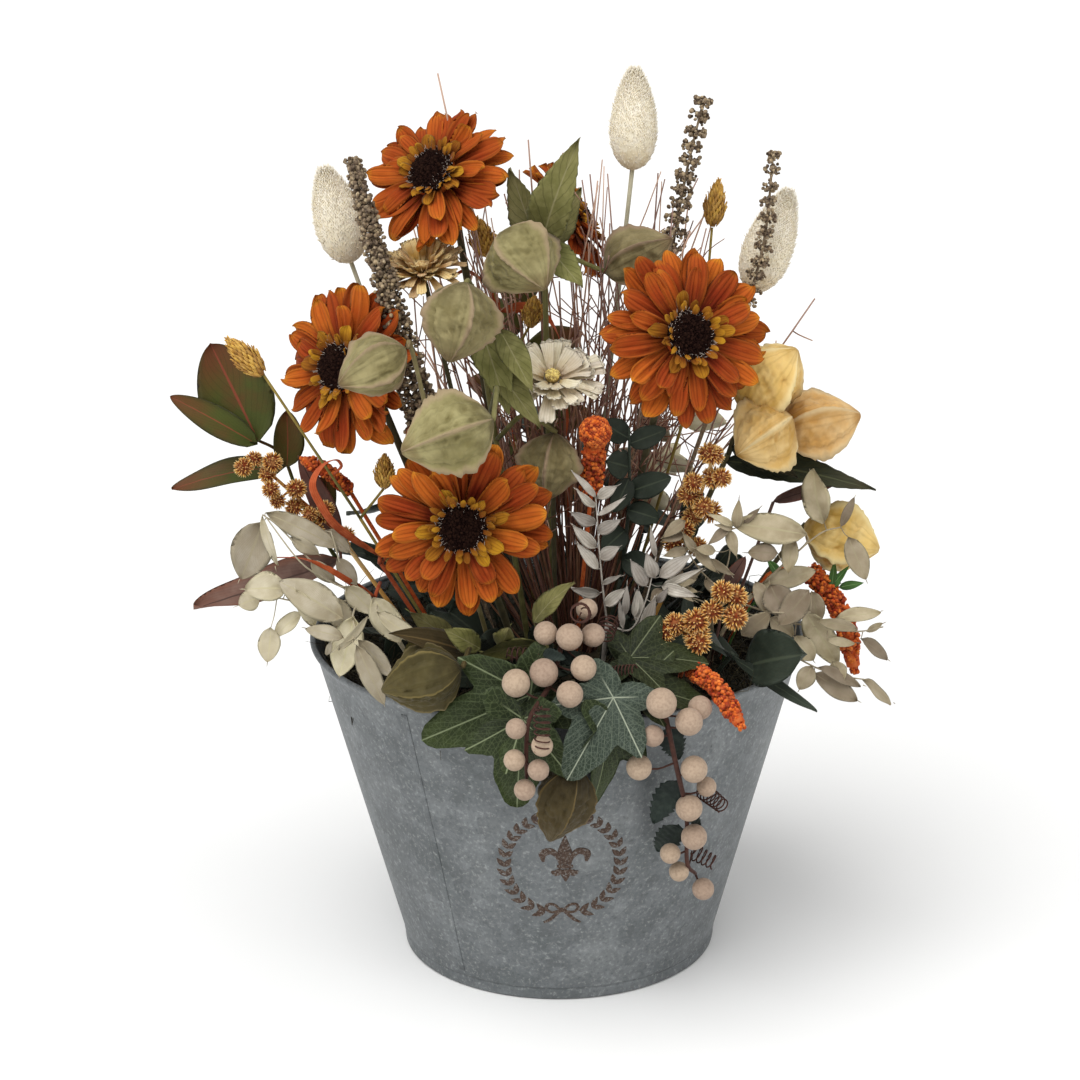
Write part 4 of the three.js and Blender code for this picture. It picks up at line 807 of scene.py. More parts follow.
# %% The skin of a lantern
def lantern(base, tip, radius, ribs=5, flat=1.3, seed=0, lean=0.8, beak=0.05):
    """Radius = sin(pi t^lean)^0.85 (polygon by flat + a bell on each seam - a groove beside it) + creases."""
    base, tip, length, axes = span(base, tip, (0.2, -1, 0.3))
    t = np.linspace(0.004, 0.985, 36)[:, None]
    angle = TAU * np.arange(20 * ribs)[None] / (20 * ribs) + seed
    seam = np.sin(0.5 * ribs * (angle - seed) * np.ones_like(t))
    corner = np.pi / ribs
    side = np.cos(corner) / np.cos((angle - seed) % (2 * corner) - corner)
    crest = 0.13 * np.exp(-(seam / 0.14) ** 2)
    groove = 0.09 * np.exp(-((np.abs(seam) - 0.36) / 0.15) ** 2)
    wave = 1.08 + (crest - groove - flat * (1 - side)) * np.sin(np.pi * t) ** 0.5
    swell = radius * np.sin(np.pi * t**lean) ** 0.85 * wave
    swell = swell + radius * beak * (t > 0.93) * (1 - t) * 4
    shape = np.stack(np.broadcast_arrays(swell * np.cos(angle), t * length, swell * np.sin(angle)), -1)
    crease = 0.08 - 0.14 * np.abs(ripple(shape, 13, seed + 9)) - 0.16 * np.abs(ripple(shape, 6, seed + 5))
    crumple = radius * (crease + 0.025 * ripple(shape, 3.2, seed + 3)) * np.sin(np.pi * t)
    shape[..., 0] += crumple * np.cos(angle)
    shape[..., 2] += crumple * np.sin(angle)
    grid = lay(shape, base, axes)
    return skins(grid, (0.3 + 0.37 * seed) % 1.0, across=seam[None])

# %% [markdown]
# Cloth leaves are stamped from one sheet with a keel and side veins pressed in. Only the outline
# changes from kind to kind, so each kind is one small function of the place along the leaf.

# %% Leaf outlines and their relief
def pointed(v):
    """An oval leaf that ends in a point."""
    return np.sin(np.pi * v**0.78) ** 0.85 * (1 - 0.25 * v)


def toothed(v):
    """The same leaf with eleven small teeth."""
    return pointed(v) * (0.97 + 0.13 * (1 - (11 * v) % 1.0))


def leaf_relief(u, v, length, half, luck):
    """A keel, an arch, an uneven edge and side veins that slant from the midrib."""
    keel = 0.22 * half * (1 + 0.5 * luck[0]) * np.abs(u) ** 1.5
    arch = -0.10 * length * (1 + luck[1]) * v**2 + 0.08 * length * np.sin(np.pi * v) * luck[2]
    wavy = 0.10 * half * np.sin(9 * v + 3 * luck[3]) * u**2
    veins = 0.16 * np.cos(TAU * (7 * v - 2.4 * np.abs(u))) * (1 - u**2)
    return keel + arch + wavy + veins


def leaf(root, tip, half, facing=(0.1, -1, 0.4), outline=pointed, seed=0, rows=40, around=20):
    """One leaf with its keel, arch and veins."""
    return blades(root, tip, facing, half, outline, leaf_relief, rows, around, 0.55, seed)

# %% [markdown]
# Lantern paper is dyed rice paper: matt, mottled where the dye pooled, creased all over, and browner
# at stalk and tip. The ochre pods have the same paper with cream seams. The leaves are starched
# cotton with darker side veins and a pale rib.

# %% Paper and leaf finishes
SAGE_PAPER = fibre_finish(
    "sage_paper_lantern", [(0, "#5c5132"), (0.35, "#7d734a"), (0.8, "#8e835a"), (1, "#6f5739")], "#aa9f72",
    9.0, 0.6, 0.2, 0.62, lines=2.5, line_colour="#6a6542", line_share=0.2, rib="#a08a6e", rib_half=0.22,
    bump=0.9, fine_mm=2.5)
# A darker copy of the sage paper: painted shade for the lanterns low at the rim.
SHADED_LANTERN_PAPER = fibre_finish(
    "lantern_paper_painted_shade", [(0, "#332b16"), (0.4, "#41381e"), (1, "#4e4224")], "#574c2d", 9.0, 0.5, 0.2, 0.6,
    lines=2.5, line_colour="#453e20", line_share=0.25, rib="#75643c", bump=0.7, fine_mm=2.5)
OCHRE_PAPER = fibre_finish(
    "ochre_paper_pod", [(0, "#a37a36"), (0.35, "#cfa557"), (0.85, "#e3be78"), (1, "#ad833b")], "#ecd095", 10.0,
    0.6, 0.16, 0.6, lines=2.5, line_colour="#9c7838", line_share=0.2, rib="#e6cf9a", rib_half=0.2, bump=0.7,
    fine_mm=2.5)
OLIVE_LEAF = fibre_finish(
    "olive_cloth_leaf", [(0, "#56532e"), (0.6, "#716e3e"), (1, "#807a4c")], "#8f8958", 6.0, 0.55, 0.34, 0.62,
    lines=7, slant=0.34, line_colour="#42411f", line_share=0.4, rib="#8d8660", rib_half=0.06, bump=0.5)
DARK_LEAF = fibre_finish(
    "dark_cloth_leaf", [(0, "#23291a"), (0.6, "#2c301f"), (1, "#3f3a26")], "#3a3f2c", 6.0, 0.5, 0.3, 0.55,
    lines=7, slant=0.34, line_colour="#1c2115", line_share=0.5, rib="#4f5339", bump=0.5)

# %% [markdown]
# A lantern hangs from a bent stalk on a branch with leaves, or from its own wire over the rim. The
# dull ones low at the rim lie in shade, and their darker copy of the paper paints that shade.

# %% Lantern branches
piece("lantern_branch_top", [
    rod(stem_line((-6, -30, 408)), 1.7, 1.5), wire([(-6, -30, 406), (-16, -40, 417), (-28, -48, 415)], 8, 1.3),
    wire([(-6, -30, 406), (12, -26, 396), (27, -22, 388.5)], 8, 1.2),
    leaf((-7, -31, 406), (11, -48, 463), 12.5, (-0.2, -1, 0.3), toothed, 4),
    leaf((-8, -30, 404), (-25, -28, 444), 10, (-0.4, -1, 0.1), toothed, 5),
    leaf((-5, -31, 406), (14, -50, 388), 9, (0.2, -1, 0.6), toothed, 6),
    leaf((-6, -31, 404), (16, -14, 432), 8, (0.6, -0.6, 0.4), toothed, 7),
], OLIVE_LEAF, "sage_paper")
piece("lantern_pods_top", [
    lantern((-27, -47, 416), (-5, -66, 390), 19.5, seed=1),
    lantern((26, -22, 388), (61, -24, 407), 15, seed=2),
], SAGE_PAPER, "sage_paper", "physalis_top")
piece("lantern_branch_middle", [
    rod(stem_line((-43, -62, 392)), 1.7, 1.5),
    wire([(-43, -62, 391), (-44, -74, 397), (-45, -86, 399)], 6, 1.3),
    wire([(-34, -52, 322), (-30, -92, 346), (-31, -133, 341)], 12, 1.3),
    wire([(-31, -49, 306), (-16, -58, 322), (0, -58, 312)], 12, 1.3),
    leaf((-41, -59, 376), (-22, -84, 332), 11, (0.3, -1, 0.5), toothed, 8),
    leaf((-28, -60, 366), (-12, -88, 343), 8.5, (0.1, -0.9, 0.6), pointed, 9),
    leaf((-34, -60, 350), (-8, -84, 322), 8.5, (0.3, -1, 0.3), pointed, 10),
], OLIVE_LEAF, "sage_paper")
piece("lantern_pods_middle", [
    lantern((-45, -85, 399), (-54, -93, 359), 19, seed=3),
    lantern((-31, -132, 341), (-77, -139, 326), 19, seed=4),
    lantern((-1, -58, 312), (-6, -62, 276), 15.5, seed=5),
], SAGE_PAPER, "sage_paper", "physalis_middle")
piece("lantern_left", [
    lantern((-75, -98, 368), (-109, -108, 352), 14.5, seed=6),
    stem(1.3, (-74, -96, 368.5), (-30, -46), [(-56, -72, 280), (-72, -88, 362)], 24),
], SAGE_PAPER, "sage_paper", "physalis_left")
piece("lantern_rim", [
    lantern((-49, -131, 210), (-90, -133, 198), 16, seed=7),
    stem(1.4, (-48, -131, 210.5), (-38, -62), [(-44, -98, 208)], 20),
    leaf((-46, -100, 206), (-84, -128, 228), 9, (-0.3, -0.8, 0.7), pointed, 3),
], SHADED_LANTERN_PAPER, "sage_paper", "physalis_rim")
piece("lantern_low", [
    lantern((9, -142, 160), (-5, -140, 117), 14, seed=8),
    stem(1.4, (9, -141.5, 161), (6, -60), [(8, -104, 191), (9, -139, 185)], 24),
], SHADED_LANTERN_PAPER, "sage_paper", "physalis_low")

# %% [markdown]
# The ochre pods are the same papery form with four fat panels, three together on a short knot and
# a lower one on its own wire. The leaves below them are nearly black green.

# %% Ochre pods
POD = dict(ribs=4, flat=1.25, lean=0.9)
KNOT, FORK = (106, -24, 308), (92, -12, 286)
piece("ochre_pods_trio", [
    lantern((97, -22, 315), (127, -26, 348), 21, seed=1, **POD),
    lantern((117, -20, 300), (163, -13, 308), 17.5, seed=2, **POD),
    lantern((124, -34, 313), (94, -51, 297), 18.5, seed=3, **POD),
], OCHRE_PAPER, "ochre_paper", "yellow_pods_trio")
piece("ochre_pod_low", [lantern((134, -6, 244), (175, -15, 232), 20, seed=4, **POD)], OCHRE_PAPER,
      "ochre_paper", "yellow_pod_low")
piece("ochre_pod_stems", [
    stem(1.6, FORK), wire([(92, -12, 285), (96, -14, 297), (104.7, -23, 307)], 10, 1.4),
    *[wire([KNOT, end], 5, 1.5) for end in [(99, -22, 317), (118, -20, 301), (122, -34, 311)]],
    stem(1.5, (135, -6, 244.5), (84, -2), [(112, -5, 212)], 22),
], STEM_OLIVE, "olive_stem", "yellow_pods_spray")
piece("ochre_pod_leaves", [
    leaf((90, -12, 282), (170, -30, 273), 10, (0.1, -0.8, 0.8), toothed, 2, rows=34),
    leaf((94, -14, 290), (128, -34, 280), 8, (0.2, -0.8, 0.7), toothed, 3),
], DARK_LEAF, "sage_paper")

# %% [markdown]
# ## Bunny tails
# A hare's-tail head is an egg of soft awns. The egg is a plain skin, and 2,600 fine tapered hairs
# stand on it, swept towards the tip. The real awns are finer still; 0.3 mm is as thin as shows. The
# bleached down is cream at the root and nearly white at the tip, with a faint sheen.

# %% Bunny tails
CREAM_DOWN = fibre_finish(
    "hares_tail_down", [(0, "#dcc498"), (0.3, "#f0e5ca"), (1, "#faf4e6")], "#fdf8ee", 5.0, 0.4, 0.1, 0.9,
    sheen=0.2, bump=0.6, fine_mm=1.2)
TAIL_STALK = fibre_finish(
    "hares_tail_stalk", [(0, "#64634c"), (0.7, "#94927a"), (1, "#c8c1a6")], "#aaa68c", 3.0, 0.4, 0.1)
TAILS = {"left": ((-109, 8, 388), (-122, 3, 442), 14), "middle": ((41, 12, 436), (42, 12, 492), 13),
         "right": ((106, 20, 368), (125, 15, 426), 14)}


def tail(base, tip, radius, seed, hairs=2600):
    """Egg: radius times sin(pi t^0.7)^0.65. Hairs leave it half outwards and half along."""
    base, tip, length, (x, y, z) = span(base, tip, (0.1, -1, 0.2))
    t = np.linspace(0.01, 0.98, 22)
    line = base + (tip - base) * t[:, None]
    egg = skins(sweep(line, 0.93 * radius * np.sin(np.pi * t**0.7) ** 0.65, 24), along=t[None, :, None])
    share, angle = spiral(hairs)
    s = share**0.9 * 0.96 + 0.02
    r = 0.9 * radius * np.sin(np.pi * s**0.7) ** 0.65
    out = np.cos(angle)[:, None] * x + np.sin(angle)[:, None] * z
    rng = np.random.default_rng(seed)
    starts = base + (s * length)[:, None] * y + r[:, None] * out
    ways = 0.55 * out + 1.0 * y + 0.25 * rng.normal(size=(hairs, 3))
    return [egg, spikes(starts, ways, rng.uniform(1.6, 3.2, hairs), 0.3, seed)]


for name, (base, tip, radius) in TAILS.items():
    base, tip = np.array(base, float), np.array(tip, float)
    tip = tip - 1.5 * unit(tip - base)
    piece(f"hares_tail_{name}", tail(base, tip, radius, len(name)), CREAM_DOWN, "velvet_cream",
          f"bunny_tail_{name}")
    piece(f"hares_tail_stalk_{name}", [rod(stem_line(base + 2 * unit(tip - base)), 0.9, 1.2)], TAIL_STALK,
          "velvet_cream")

# %% [markdown]
# ## Seed spikes
# The grey spikes are dried dock: tight whorls of papery seeds round a thin stalk, with bare gaps
# between them. Whorls are set along the line, and each is a cluster of small flattened grains.
# Husks are brown with greyer edges and have no shine at all.

# %% Seed spikes
SEED_HUSK = fibre_finish(
    "dried_dock_seed", [(0, "#49392d"), (1, "#9a8468")], "#c2af94", 1.6, 0.55, 0.6, 0.85, bump=0.5)


def seed_spike(line, whorls, wide, seed, grain, per, loose):
    """per grains in each whorl; its radius goes from wide[0] to wide[1], and is squashed along the line."""
    rng = np.random.default_rng(seed)
    path = course(line, 200)
    at = np.repeat(np.linspace(0, 1, whorls), per) + rng.normal(0, loose / whorls, whorls * per)
    nearest = np.clip(at * 199, 0, 199).astype(int)
    spread = np.interp(at, [0, 1], wide)[:, None]
    off = unit(rng.normal(size=(len(at), 3))) * spread * rng.uniform(0.25, 1, (len(at), 1)) ** 0.5
    along = unit(np.gradient(path, axis=0))[nearest]
    off -= 0.62 * (off * along).sum(1, keepdims=True) * along
    size = grain * rng.uniform(0.6, 1.2, len(at))
    return balls(path[nearest] + off, size, 4, 6, seed, 0.8, rng.normal(size=(len(at), 3)))


DOCKS = {  # line, whorls, their radii, a grain's size, grains in a whorl, their looseness, stalk radii
    "left": ([(-63, -50, 298), (-70, -56, 324), (-87, -50, 387), (-104, -30, 450)], 54, (14, 4.4), 1.35, 50,
             0.3, 1.2, 1.0),
    "middle": ([(62, 4, 396), (69, 7, 434), (78, 10, 473)], 11, (7.2, 5.2), 1.25, 52, 0.15, 1.1, 0.9),
    "right": ([(100, -10, 362), (110, -6, 402), (114, -4, 447)], 12, (5.8, 4.2), 1.1, 48, 0.15, 1.1, 0.9),
}
for k, (name, (line, whorls, wide, grain, per, loose, low, high)) in enumerate(DOCKS.items()):
    bare = line[-3:]
    piece(f"dock_spike_{name}", [
        seed_spike(line, whorls, wide, k + 1, grain, per, loose),
        stem(low, bare[0]), wire(bare, 16, high, 0.6),
    ], SEED_HUSK, "seed_grey", f"seed_spike_{name}")

# %% [markdown]
# ## Canary grass
# A canary grass head is a small egg of overlapping scales, each one a short blade, on a fork of a
# thin stalk. Its dye is mustard, stronger at each scale's root than at its tip.

# %% Canary grass
MUSTARD = fibre_finish(
    "dyed_canary_grass", [(0, "#a8772a"), (1, "#e6b45a")], "#f0cb80", 2.0, 0.4, 0.4, 0.75, lines=3,
    line_colour="#9a6c24")
MUSTARD_STALK = fibre_finish("grass_stalk", [(0, "#6b6a3a"), (1, "#a08a46")], "#7f6f38", 4.0, 0.5, 0.2, 0.7)


def scaly_head(base, tip, radius, seed, count=150):
    """Scales on a spiral round an egg, each lying towards the tip."""
    base, tip, length, (x, y, z) = span(base, tip, (0.1, -1, 0.2))
    s, angle = spiral(count)
    out = np.cos(angle)[:, None] * x + np.sin(angle)[:, None] * z
    r = 0.78 * radius * np.sin(np.pi * (0.08 + 0.86 * s) ** 0.8)[:, None]
    roots = base + (s * length * 0.9)[:, None] * y + r * out
    tips = roots + (0.24 * length) * y + 0.5 * radius * out * (1 - s[:, None])
    t = np.linspace(0.02, 0.98, 10)
    core = skins(sweep(base + (tip - base) * t[:, None], 0.8 * radius * np.sin(np.pi * t**0.8), 14))
    return [core, blades(roots, tips, out + 0.3 * y, 0.17 * radius, pointed, petal_relief, 5, 8, 0.4, seed)]


CANARY = {  # the fork, then each head's base, tip and radius
    "right": ((78, 12, 330), [((84, 24, 402), (87, 24, 426), 6), ((88, 2, 362), (86, 0, 380), 5.5)]),
    "left": ((-104, -46, 262), [((-150, -66, 346), (-167, -66, 364), 6.5),
                                ((-91, -48, 279), (-90, -50, 297), 5.5)]),
    "middle": ((-26, 8, 330), [((-36, 18, 388), (-42, 18, 408), 7), ((-14, -6, 356), (-11, -20, 374), 5.5)]),
}
for name, (fork, heads) in CANARY.items():
    parts, stalks = [], [stem(0.9, fork)]
    for k, (base, tip, radius) in enumerate(heads):
        parts += scaly_head(base, tip, radius, k)
        stalks.append(wire([fork, base], 8, 0.8, 0.7))
    piece(f"canary_heads_{name}", parts, MUSTARD, "mustard_grass", f"canary_grass_{name}")
    piece(f"canary_stalks_{name}", stalks, MUSTARD_STALK, "mustard_grass")

# %% [markdown]
# ## Strawflower daisies
# These have several rings of papery petals that open like fans from a narrow root and end in three
# teeth, round a pale button of grains. The petals are waxed wood shavings: stiff, smooth and straw
# coloured where they are thick.

# %% Daisies
CREAM_PETAL = fibre_finish(
    "papery_cream_petal", [(0, "#a8895a"), (0.35, "#dcccab"), (1, "#ece2cc")], "#f6eede", 3.0, 0.4, 0.14, 0.65,
    lines=3, line_colour="#c4b795", line_share=0.4)
BEIGE_PETAL = fibre_finish(
    "papery_beige_petal", [(0, "#7a5223"), (0.4, "#bc8f4e"), (1, "#e2c692")], "#ecd8ac", 3.0, 0.4, 0.2, 0.65,
    lines=3, line_colour="#9d8048", line_share=0.4)
GOLD_BUTTON = fibre_finish("gold_button", [(0, "#a98748"), (1, "#e0c678")], "#ecd899", 1.4, 0.5, 0.5, 0.8)


def fan_petal(v):
    """A fan that opens evenly from its root and ends blunt."""
    return 0.3 + 0.7 * v**0.8


def strap_relief(u, v, length, half, luck):
    """A channel along the strap and a fall or rise of its own."""
    return (0.35 * half * u**2 + 0.22 * length * v**2 * luck[0] - 0.07 * length * v**2
            + 0.05 * length * np.sin(TAU * v) * luck[1])


def daisy(at, facing, radius, cup, seed, half, counts):
    """Rings of frayed fans, each shorter and more upright, over a cone that narrows to the stalk."""
    normal = unit(facing)
    axes = frame_of(normal, (0.2, -0.3, 1))
    centre = np.asarray(at, float)
    rings = [ring_of(centre, axes, n, (5, -1.5 + k), (radius * (1 - 0.17 * k), 2.5 + 3.2 * k), half,
                     fan_petal, strap_relief, seed + k, 0.3 * k, 0.2, rows=10, around=24, thick=0.35, fray=0.13)
             for k, n in enumerate(counts)]
    heights = [centre - cup * normal, centre - 0.6 * cup * normal, centre - 0.2 * cup * normal, centre]
    cone = skins(sweep(heights, [0.9, 1.3, 3.2, 5.0], 16), 0)
    return rings + [cone], axes


CREAM_PLACE, CREAM_FACING = (-2, -54, 340), (0.05, -0.55, 0.83)
BEIGE_PLACE, BEIGE_FACING = (-69, -32, 393), (-0.15, -0.35, 0.92)
cream, axes = daisy(CREAM_PLACE, CREAM_FACING, 26, 9, 1, 4.6, (17, 14, 10))
piece("strawflower_cream", cream, CREAM_PETAL, "cream_petal", "daisy_cream")
button = np.array([-2, -54.2, 340.4])
piece("strawflower_cream_button", [
    dome(button + 2.2 * axes[1], axes, 3.8, 2.6, 90, 0.55, 4),
    turned_on(button, axes[1], [(0, 3.8), (2, 3.6), (4.2, 1.8)], 16),
], GOLD_BUTTON, "gold_paper", "daisy_cream_heart")
beige, axes = daisy(BEIGE_PLACE, BEIGE_FACING, 23, 9, 5, 2.6, (26, 24, 20, 14))
piece("strawflower_beige", beige, BEIGE_PETAL, "gold_paper", "daisy_beige")
piece("strawflower_beige_button", [dome(np.array([-69, -32, 394]), axes, 5, 3, 130, 0.6, 6)], BEIGE_PETAL,
      "gold_paper")
piece("strawflower_stems", [
    stem(1.3, np.array(place) - 8.6 * unit(facing))
    for place, facing in [(CREAM_PLACE, CREAM_FACING), (BEIGE_PLACE, BEIGE_FACING)]
], STEM_OLIVE, "olive_stem")

# %% [markdown]
# ## Amaranth and burrs
# Dyed amaranth is a cord of tiny round flowers, so grains cover a line all the way round. Its dye is
# a strong orange, and each grain is darker towards its lower pole: painted shade under and between
# the grains.

# %% Amaranth
# Each grain's ramp runs from its lower pole to its top; the darker low end is painted shade.
AMARANTH = fibre_finish("dyed_amaranth", [(0, "#9a3815"), (1, "#cb5722")], "#e08548", 2.5, 0.5, 0.55, 0.8)


def grain_cord(line, thick, seed, per_mm, grain=1.15):
    """Grains on a spiral round a line, with thickness that swells and tapers."""
    path = course(line, 120)
    length = np.linalg.norm(np.diff(path, axis=0), axis=1).sum()
    count = int(per_mm * length)
    rng = np.random.default_rng(seed)
    s = np.sort(rng.uniform(0, 1, count))
    nearest = (s * 119).astype(int)
    x, _, z = frame_of(np.gradient(path, axis=0)[nearest], (0.3, -1, 0.2))
    angle = rng.uniform(0, TAU, count)[:, None]
    r = thick * np.clip(4 * (1.04 - s), 0.3, 1)[:, None] * (0.85 + 0.3 * rng.uniform(size=(count, 1)))
    places = path[nearest] + r * (np.cos(angle) * x + np.sin(angle) * z)
    return [balls(places, grain * rng.uniform(0.7, 1.2, count), 3, 6, seed), rod(path[::8], 0.8 * thick)]


def grain_ball(centre, radius, seed, count=420):
    """Grains all round a ball."""
    places = np.asarray(centre, float) + 0.9 * radius * all_round(count)
    rng = np.random.default_rng(seed)
    return [balls(places, 0.085 * radius * rng.uniform(0.9, 1.7, count), 3, 6, seed),
            balls(centre, 0.88 * radius, 10, 16)]


AMARANTH_CORDS = {  # line, thickness, grains to a mm, the stem's foot and bends, the stem's radius
    "middle": ([(18, -60, 281), (19, -64, 298), (19, -70, 310)], 5.2, 14, None, (), 1.2),
    "front": ([(70, -111, 200), (81, -132, 198), (93, -149, 183)], 4.1, 14, (62, -60), [(67, -90, 197)], 1.2),
    "right": ([(136, -19, 223), (153, -30, 202), (161, -36, 169)], 4.8, 14, (86, -22), [(112, -20, 218)], 1.2),
    "left": ([(-110, -35, 274), (-122, -38, 286), (-135, -40, 293)], 3.2, 9, None, (), 1.1),
}
for (name, (line, thick, per_mm, foot, via, low)), seed in zip(AMARANTH_CORDS.items(), (1, 3, 4, 5)):
    ball = grain_ball((20, -71, 316), 8.6, 2) if name == "middle" else []
    piece(f"amaranth_cord_{name}", [
        *grain_cord(line, thick, seed, per_mm), *ball, stem(low, line[0], foot, via),
    ], AMARANTH, "amaranth", f"amaranth_{name}")

# %% [markdown]
# The burr sprays are foam balls set with short spines, in clusters along a wire. The colour runs
# from brown at a spine's foot to cream at its point, which gives each ball its pale halo.

# %% Burr sprays
BURR = fibre_finish(
    "spined_burr", [(0, "#6a240a"), (0.3, "#a85a1e"), (0.7, "#dca85a"), (1, "#f8e2ae")], "#e6b86e", 3.0, 0.4,
    0.3, 0.75)


def burr(centre, radius, seed, spines=120):
    """A ball with spines all round; each leans a little by its own luck."""
    ways = all_round(spines) + 0.12 * np.random.default_rng(seed).normal(size=(spines, 3))
    centre = np.asarray(centre, float)
    points, faces, look = balls(centre, 0.66 * radius, 7, 12, seed)
    return [(points, faces, 0.2 * look),
            spikes(centre + 0.6 * radius * unit(ways), ways, 0.5 * radius, 0.085 * radius, seed, 4)]


def burr_spray(line, foot, count, size, spread, seed):
    """Burrs by turns on both sides of a line, the last at its end."""
    rng = np.random.default_rng(seed)
    path = course(line, 60)
    bodies = [stem(1.2, line[0], foot), rod(path[::5], 1.1, 0.8)]
    for k in range(count):
        here = path[int(59 * (k + 0.4) / count)]
        turn = 2.4 * k + seed
        way = np.array([np.cos(turn), -0.75 + 0.3 * np.sin(turn), 0.8 * np.sin(turn)])
        place = here + way * spread * (1.25 if k < count - 1 else 0.2)
        bodies += burr(place, size * rng.uniform(0.85, 1.1), seed + k)
        bodies.append(wire([here, place], 4, 0.6))
    return bodies


BURRS = {  # line, the stem's foot, burrs, a burr's radius, how far they stand off, seed
    "left": ([(-118, -40, 254), (-140, -44, 276), (-162, -46, 298)], None, 14, 5.0, 5.8, 31),
    "right": ([(67, -40, 240), (75, -50, 273), (83, -60, 304)], None, 13, 5.7, 5.8, 32),
    "front": ([(54, -97, 210), (74, -97, 222), (95, -95, 238)], (40, -58), 10, 6.7, 6.8, 33),
}
for name, spray in BURRS.items():
    piece(f"burr_cluster_{name}", burr_spray(*spray), BURR, "burr", f"burr_spray_{name}")

# %% [markdown]
# ## Berries
# The berries are dull foam balls on short wires along a dark wrapped stem, and springs of thin
# wire hang between them. A spring is a circle that moves along while it turns. The foam is painted
# pinkish tan over a rough grain, and each berry is darker towards its lower pole: painted shade
# under it. The wires wear brown paper.

# %% Berries and springs
# The ramp runs from each berry's lower pole to its top; the darker low end is painted shade.
BERRY_FOAM = fibre_finish(
    "cream_foam_berry", [(0, "#947e6c"), (0.5, "#b69f8a"), (1, "#ad9681")], "#8a7462", 1.5, 0.45, 0.14, 0.85,
    sheen=0.1, bump=0.8, fine_mm=0.9, hue=0.006)
DARK_WIRE = fibre_finish("brown_wrapped_wire", [(0, "#3a221b"), (1, "#4c2f27")], "#5d3d32", 2.0, 0.4, 0.3, 0.65)


def link(lines, place, thick=0.5, sag=0.12):
    """A short stalk from the nearest point of the lines to a place, bent a little downwards."""
    line = np.concatenate([course(points, 40) for points in lines])
    place = np.asarray(place, float)
    start = line[np.argmin(np.linalg.norm(line - place, axis=1))]
    gap = np.linalg.norm(place - start)
    middle = 0.5 * (start + place) - [0, 0, sag * gap]
    return wire([start, middle, place], 7, thick, 0.8 * thick, 5)


def spring(start, end, radius, turns, thick=0.42):
    """Circle of the radius round the line from start to end, which narrows by a fifth on the way."""
    start, end, _, (x, _, z) = span(start, end, (0.2, -1, 0.3))
    t = np.linspace(0, 1, int(14 * turns))[:, None]
    reach = radius * (1 - 0.2 * t) * np.minimum(1, 8 * t + 0.3)
    angle = TAU * turns * t
    path = start + (end - start) * t + reach * (np.cos(angle) * x + np.sin(angle) * z)
    return rod(path, thick, sides=5, bumps=0.0)


BERRIES = {
    "middle": dict(
        root=(4, -108, 222), foot=(10, -48), via=(6, -84, 208),
        spine=[(4, -107, 222), (2, -124, 219), (-4, -140, 204), (-14, -150, 190), (-16, -154, 176),
               (-16, -152, 158)],
        balls=[(-6, -128, 227, 6.1), (6, -134, 227, 6.9), (18, -126, 225, 6.1), (-7, -142, 211, 7.3),
               (-21, -146, 207, 7.2), (13, -141, 213, 6.6), (6, -149, 202, 6.8), (15, -112, 234, 5.6),
               (-21, -160, 188, 5.3), (-22, -160, 171, 5.5), (-8, -163, 180, 5.5), (-10, -161, 166, 5.5),
               (-17, -158, 154, 5.5)],
        springs=[((-8, -163, 201), (-8, -166, 178), 4.4, 7), ((12, -128, 238), (11, -135, 240), 5.4, 3),
                 ((27, -112, 229), (24, -122, 222), 5, 5), ((-26, -124, 214), (-7, -128, 215), 4, 7),
                 ((28, -122, 203), (40, -126, 206), 3.6, 7)]),
    "trailing": dict(
        root=(50, -126, 196), foot=(30, -80), via=(42, -106, 200),
        spine=[(49, -125, 196), (54, -142, 188), (60, -143, 160), (66, -130, 128), (67, -119, 96),
               (72, -108, 84)],
        balls=[(52, -149, 197, 7.8), (66, -147, 186, 7.1), (72, -138, 190, 6.2), (48, -146, 178, 5.6),
               (41, -144, 160, 6.6), (69, -142, 158, 7), (76, -132, 144, 5.2), (67, -136, 134, 7),
               (70, -130, 115, 6.8), (58, -124, 103, 5.4), (63, -116, 89, 5.3), (76, -112, 77, 5.9)],
        springs=[((74, -124, 139), (86, -112, 124), 4.6, 7), ((70, -110, 98), (82, -110, 91), 4.6, 5)]),
}
for name, spray in BERRIES.items():
    spine = spray["spine"]
    foam = [balls(b[:3], b[3], 12, 20, k) for k, b in enumerate(spray["balls"])]
    dark = [stem(1.5, spray["root"], spray["foot"], [spray["via"]], 18), wire(spine, 30, 1.6, 1.0)]
    dark += [link([spine], b[:3], 0.6) for b in spray["balls"]]
    for start, end, radius, turns in spray["springs"]:
        dark += [spring(start, end, radius, turns), link([spine], start)]
    piece(f"foam_berries_{name}", foam, BERRY_FOAM, "berry", f"berry_spray_{name}")
    piece(f"berry_wires_{name}", dark, DARK_WIRE, "twig")

# %% [markdown]
# ## Ivy
# An ivy leaf is a round patch with five lobes. Its outline is the largest of five bells,
# R exp(-(turn / width) to the 1.25), one per lobe. A vein runs down the middle of each lobe, so the
# distance to the nearest of those lines is what the finish needs to paint the veins pale. Printed
# ivy cloth is waxy, so it is smoother than the rest, and a fine net of veins lies between the ribs.

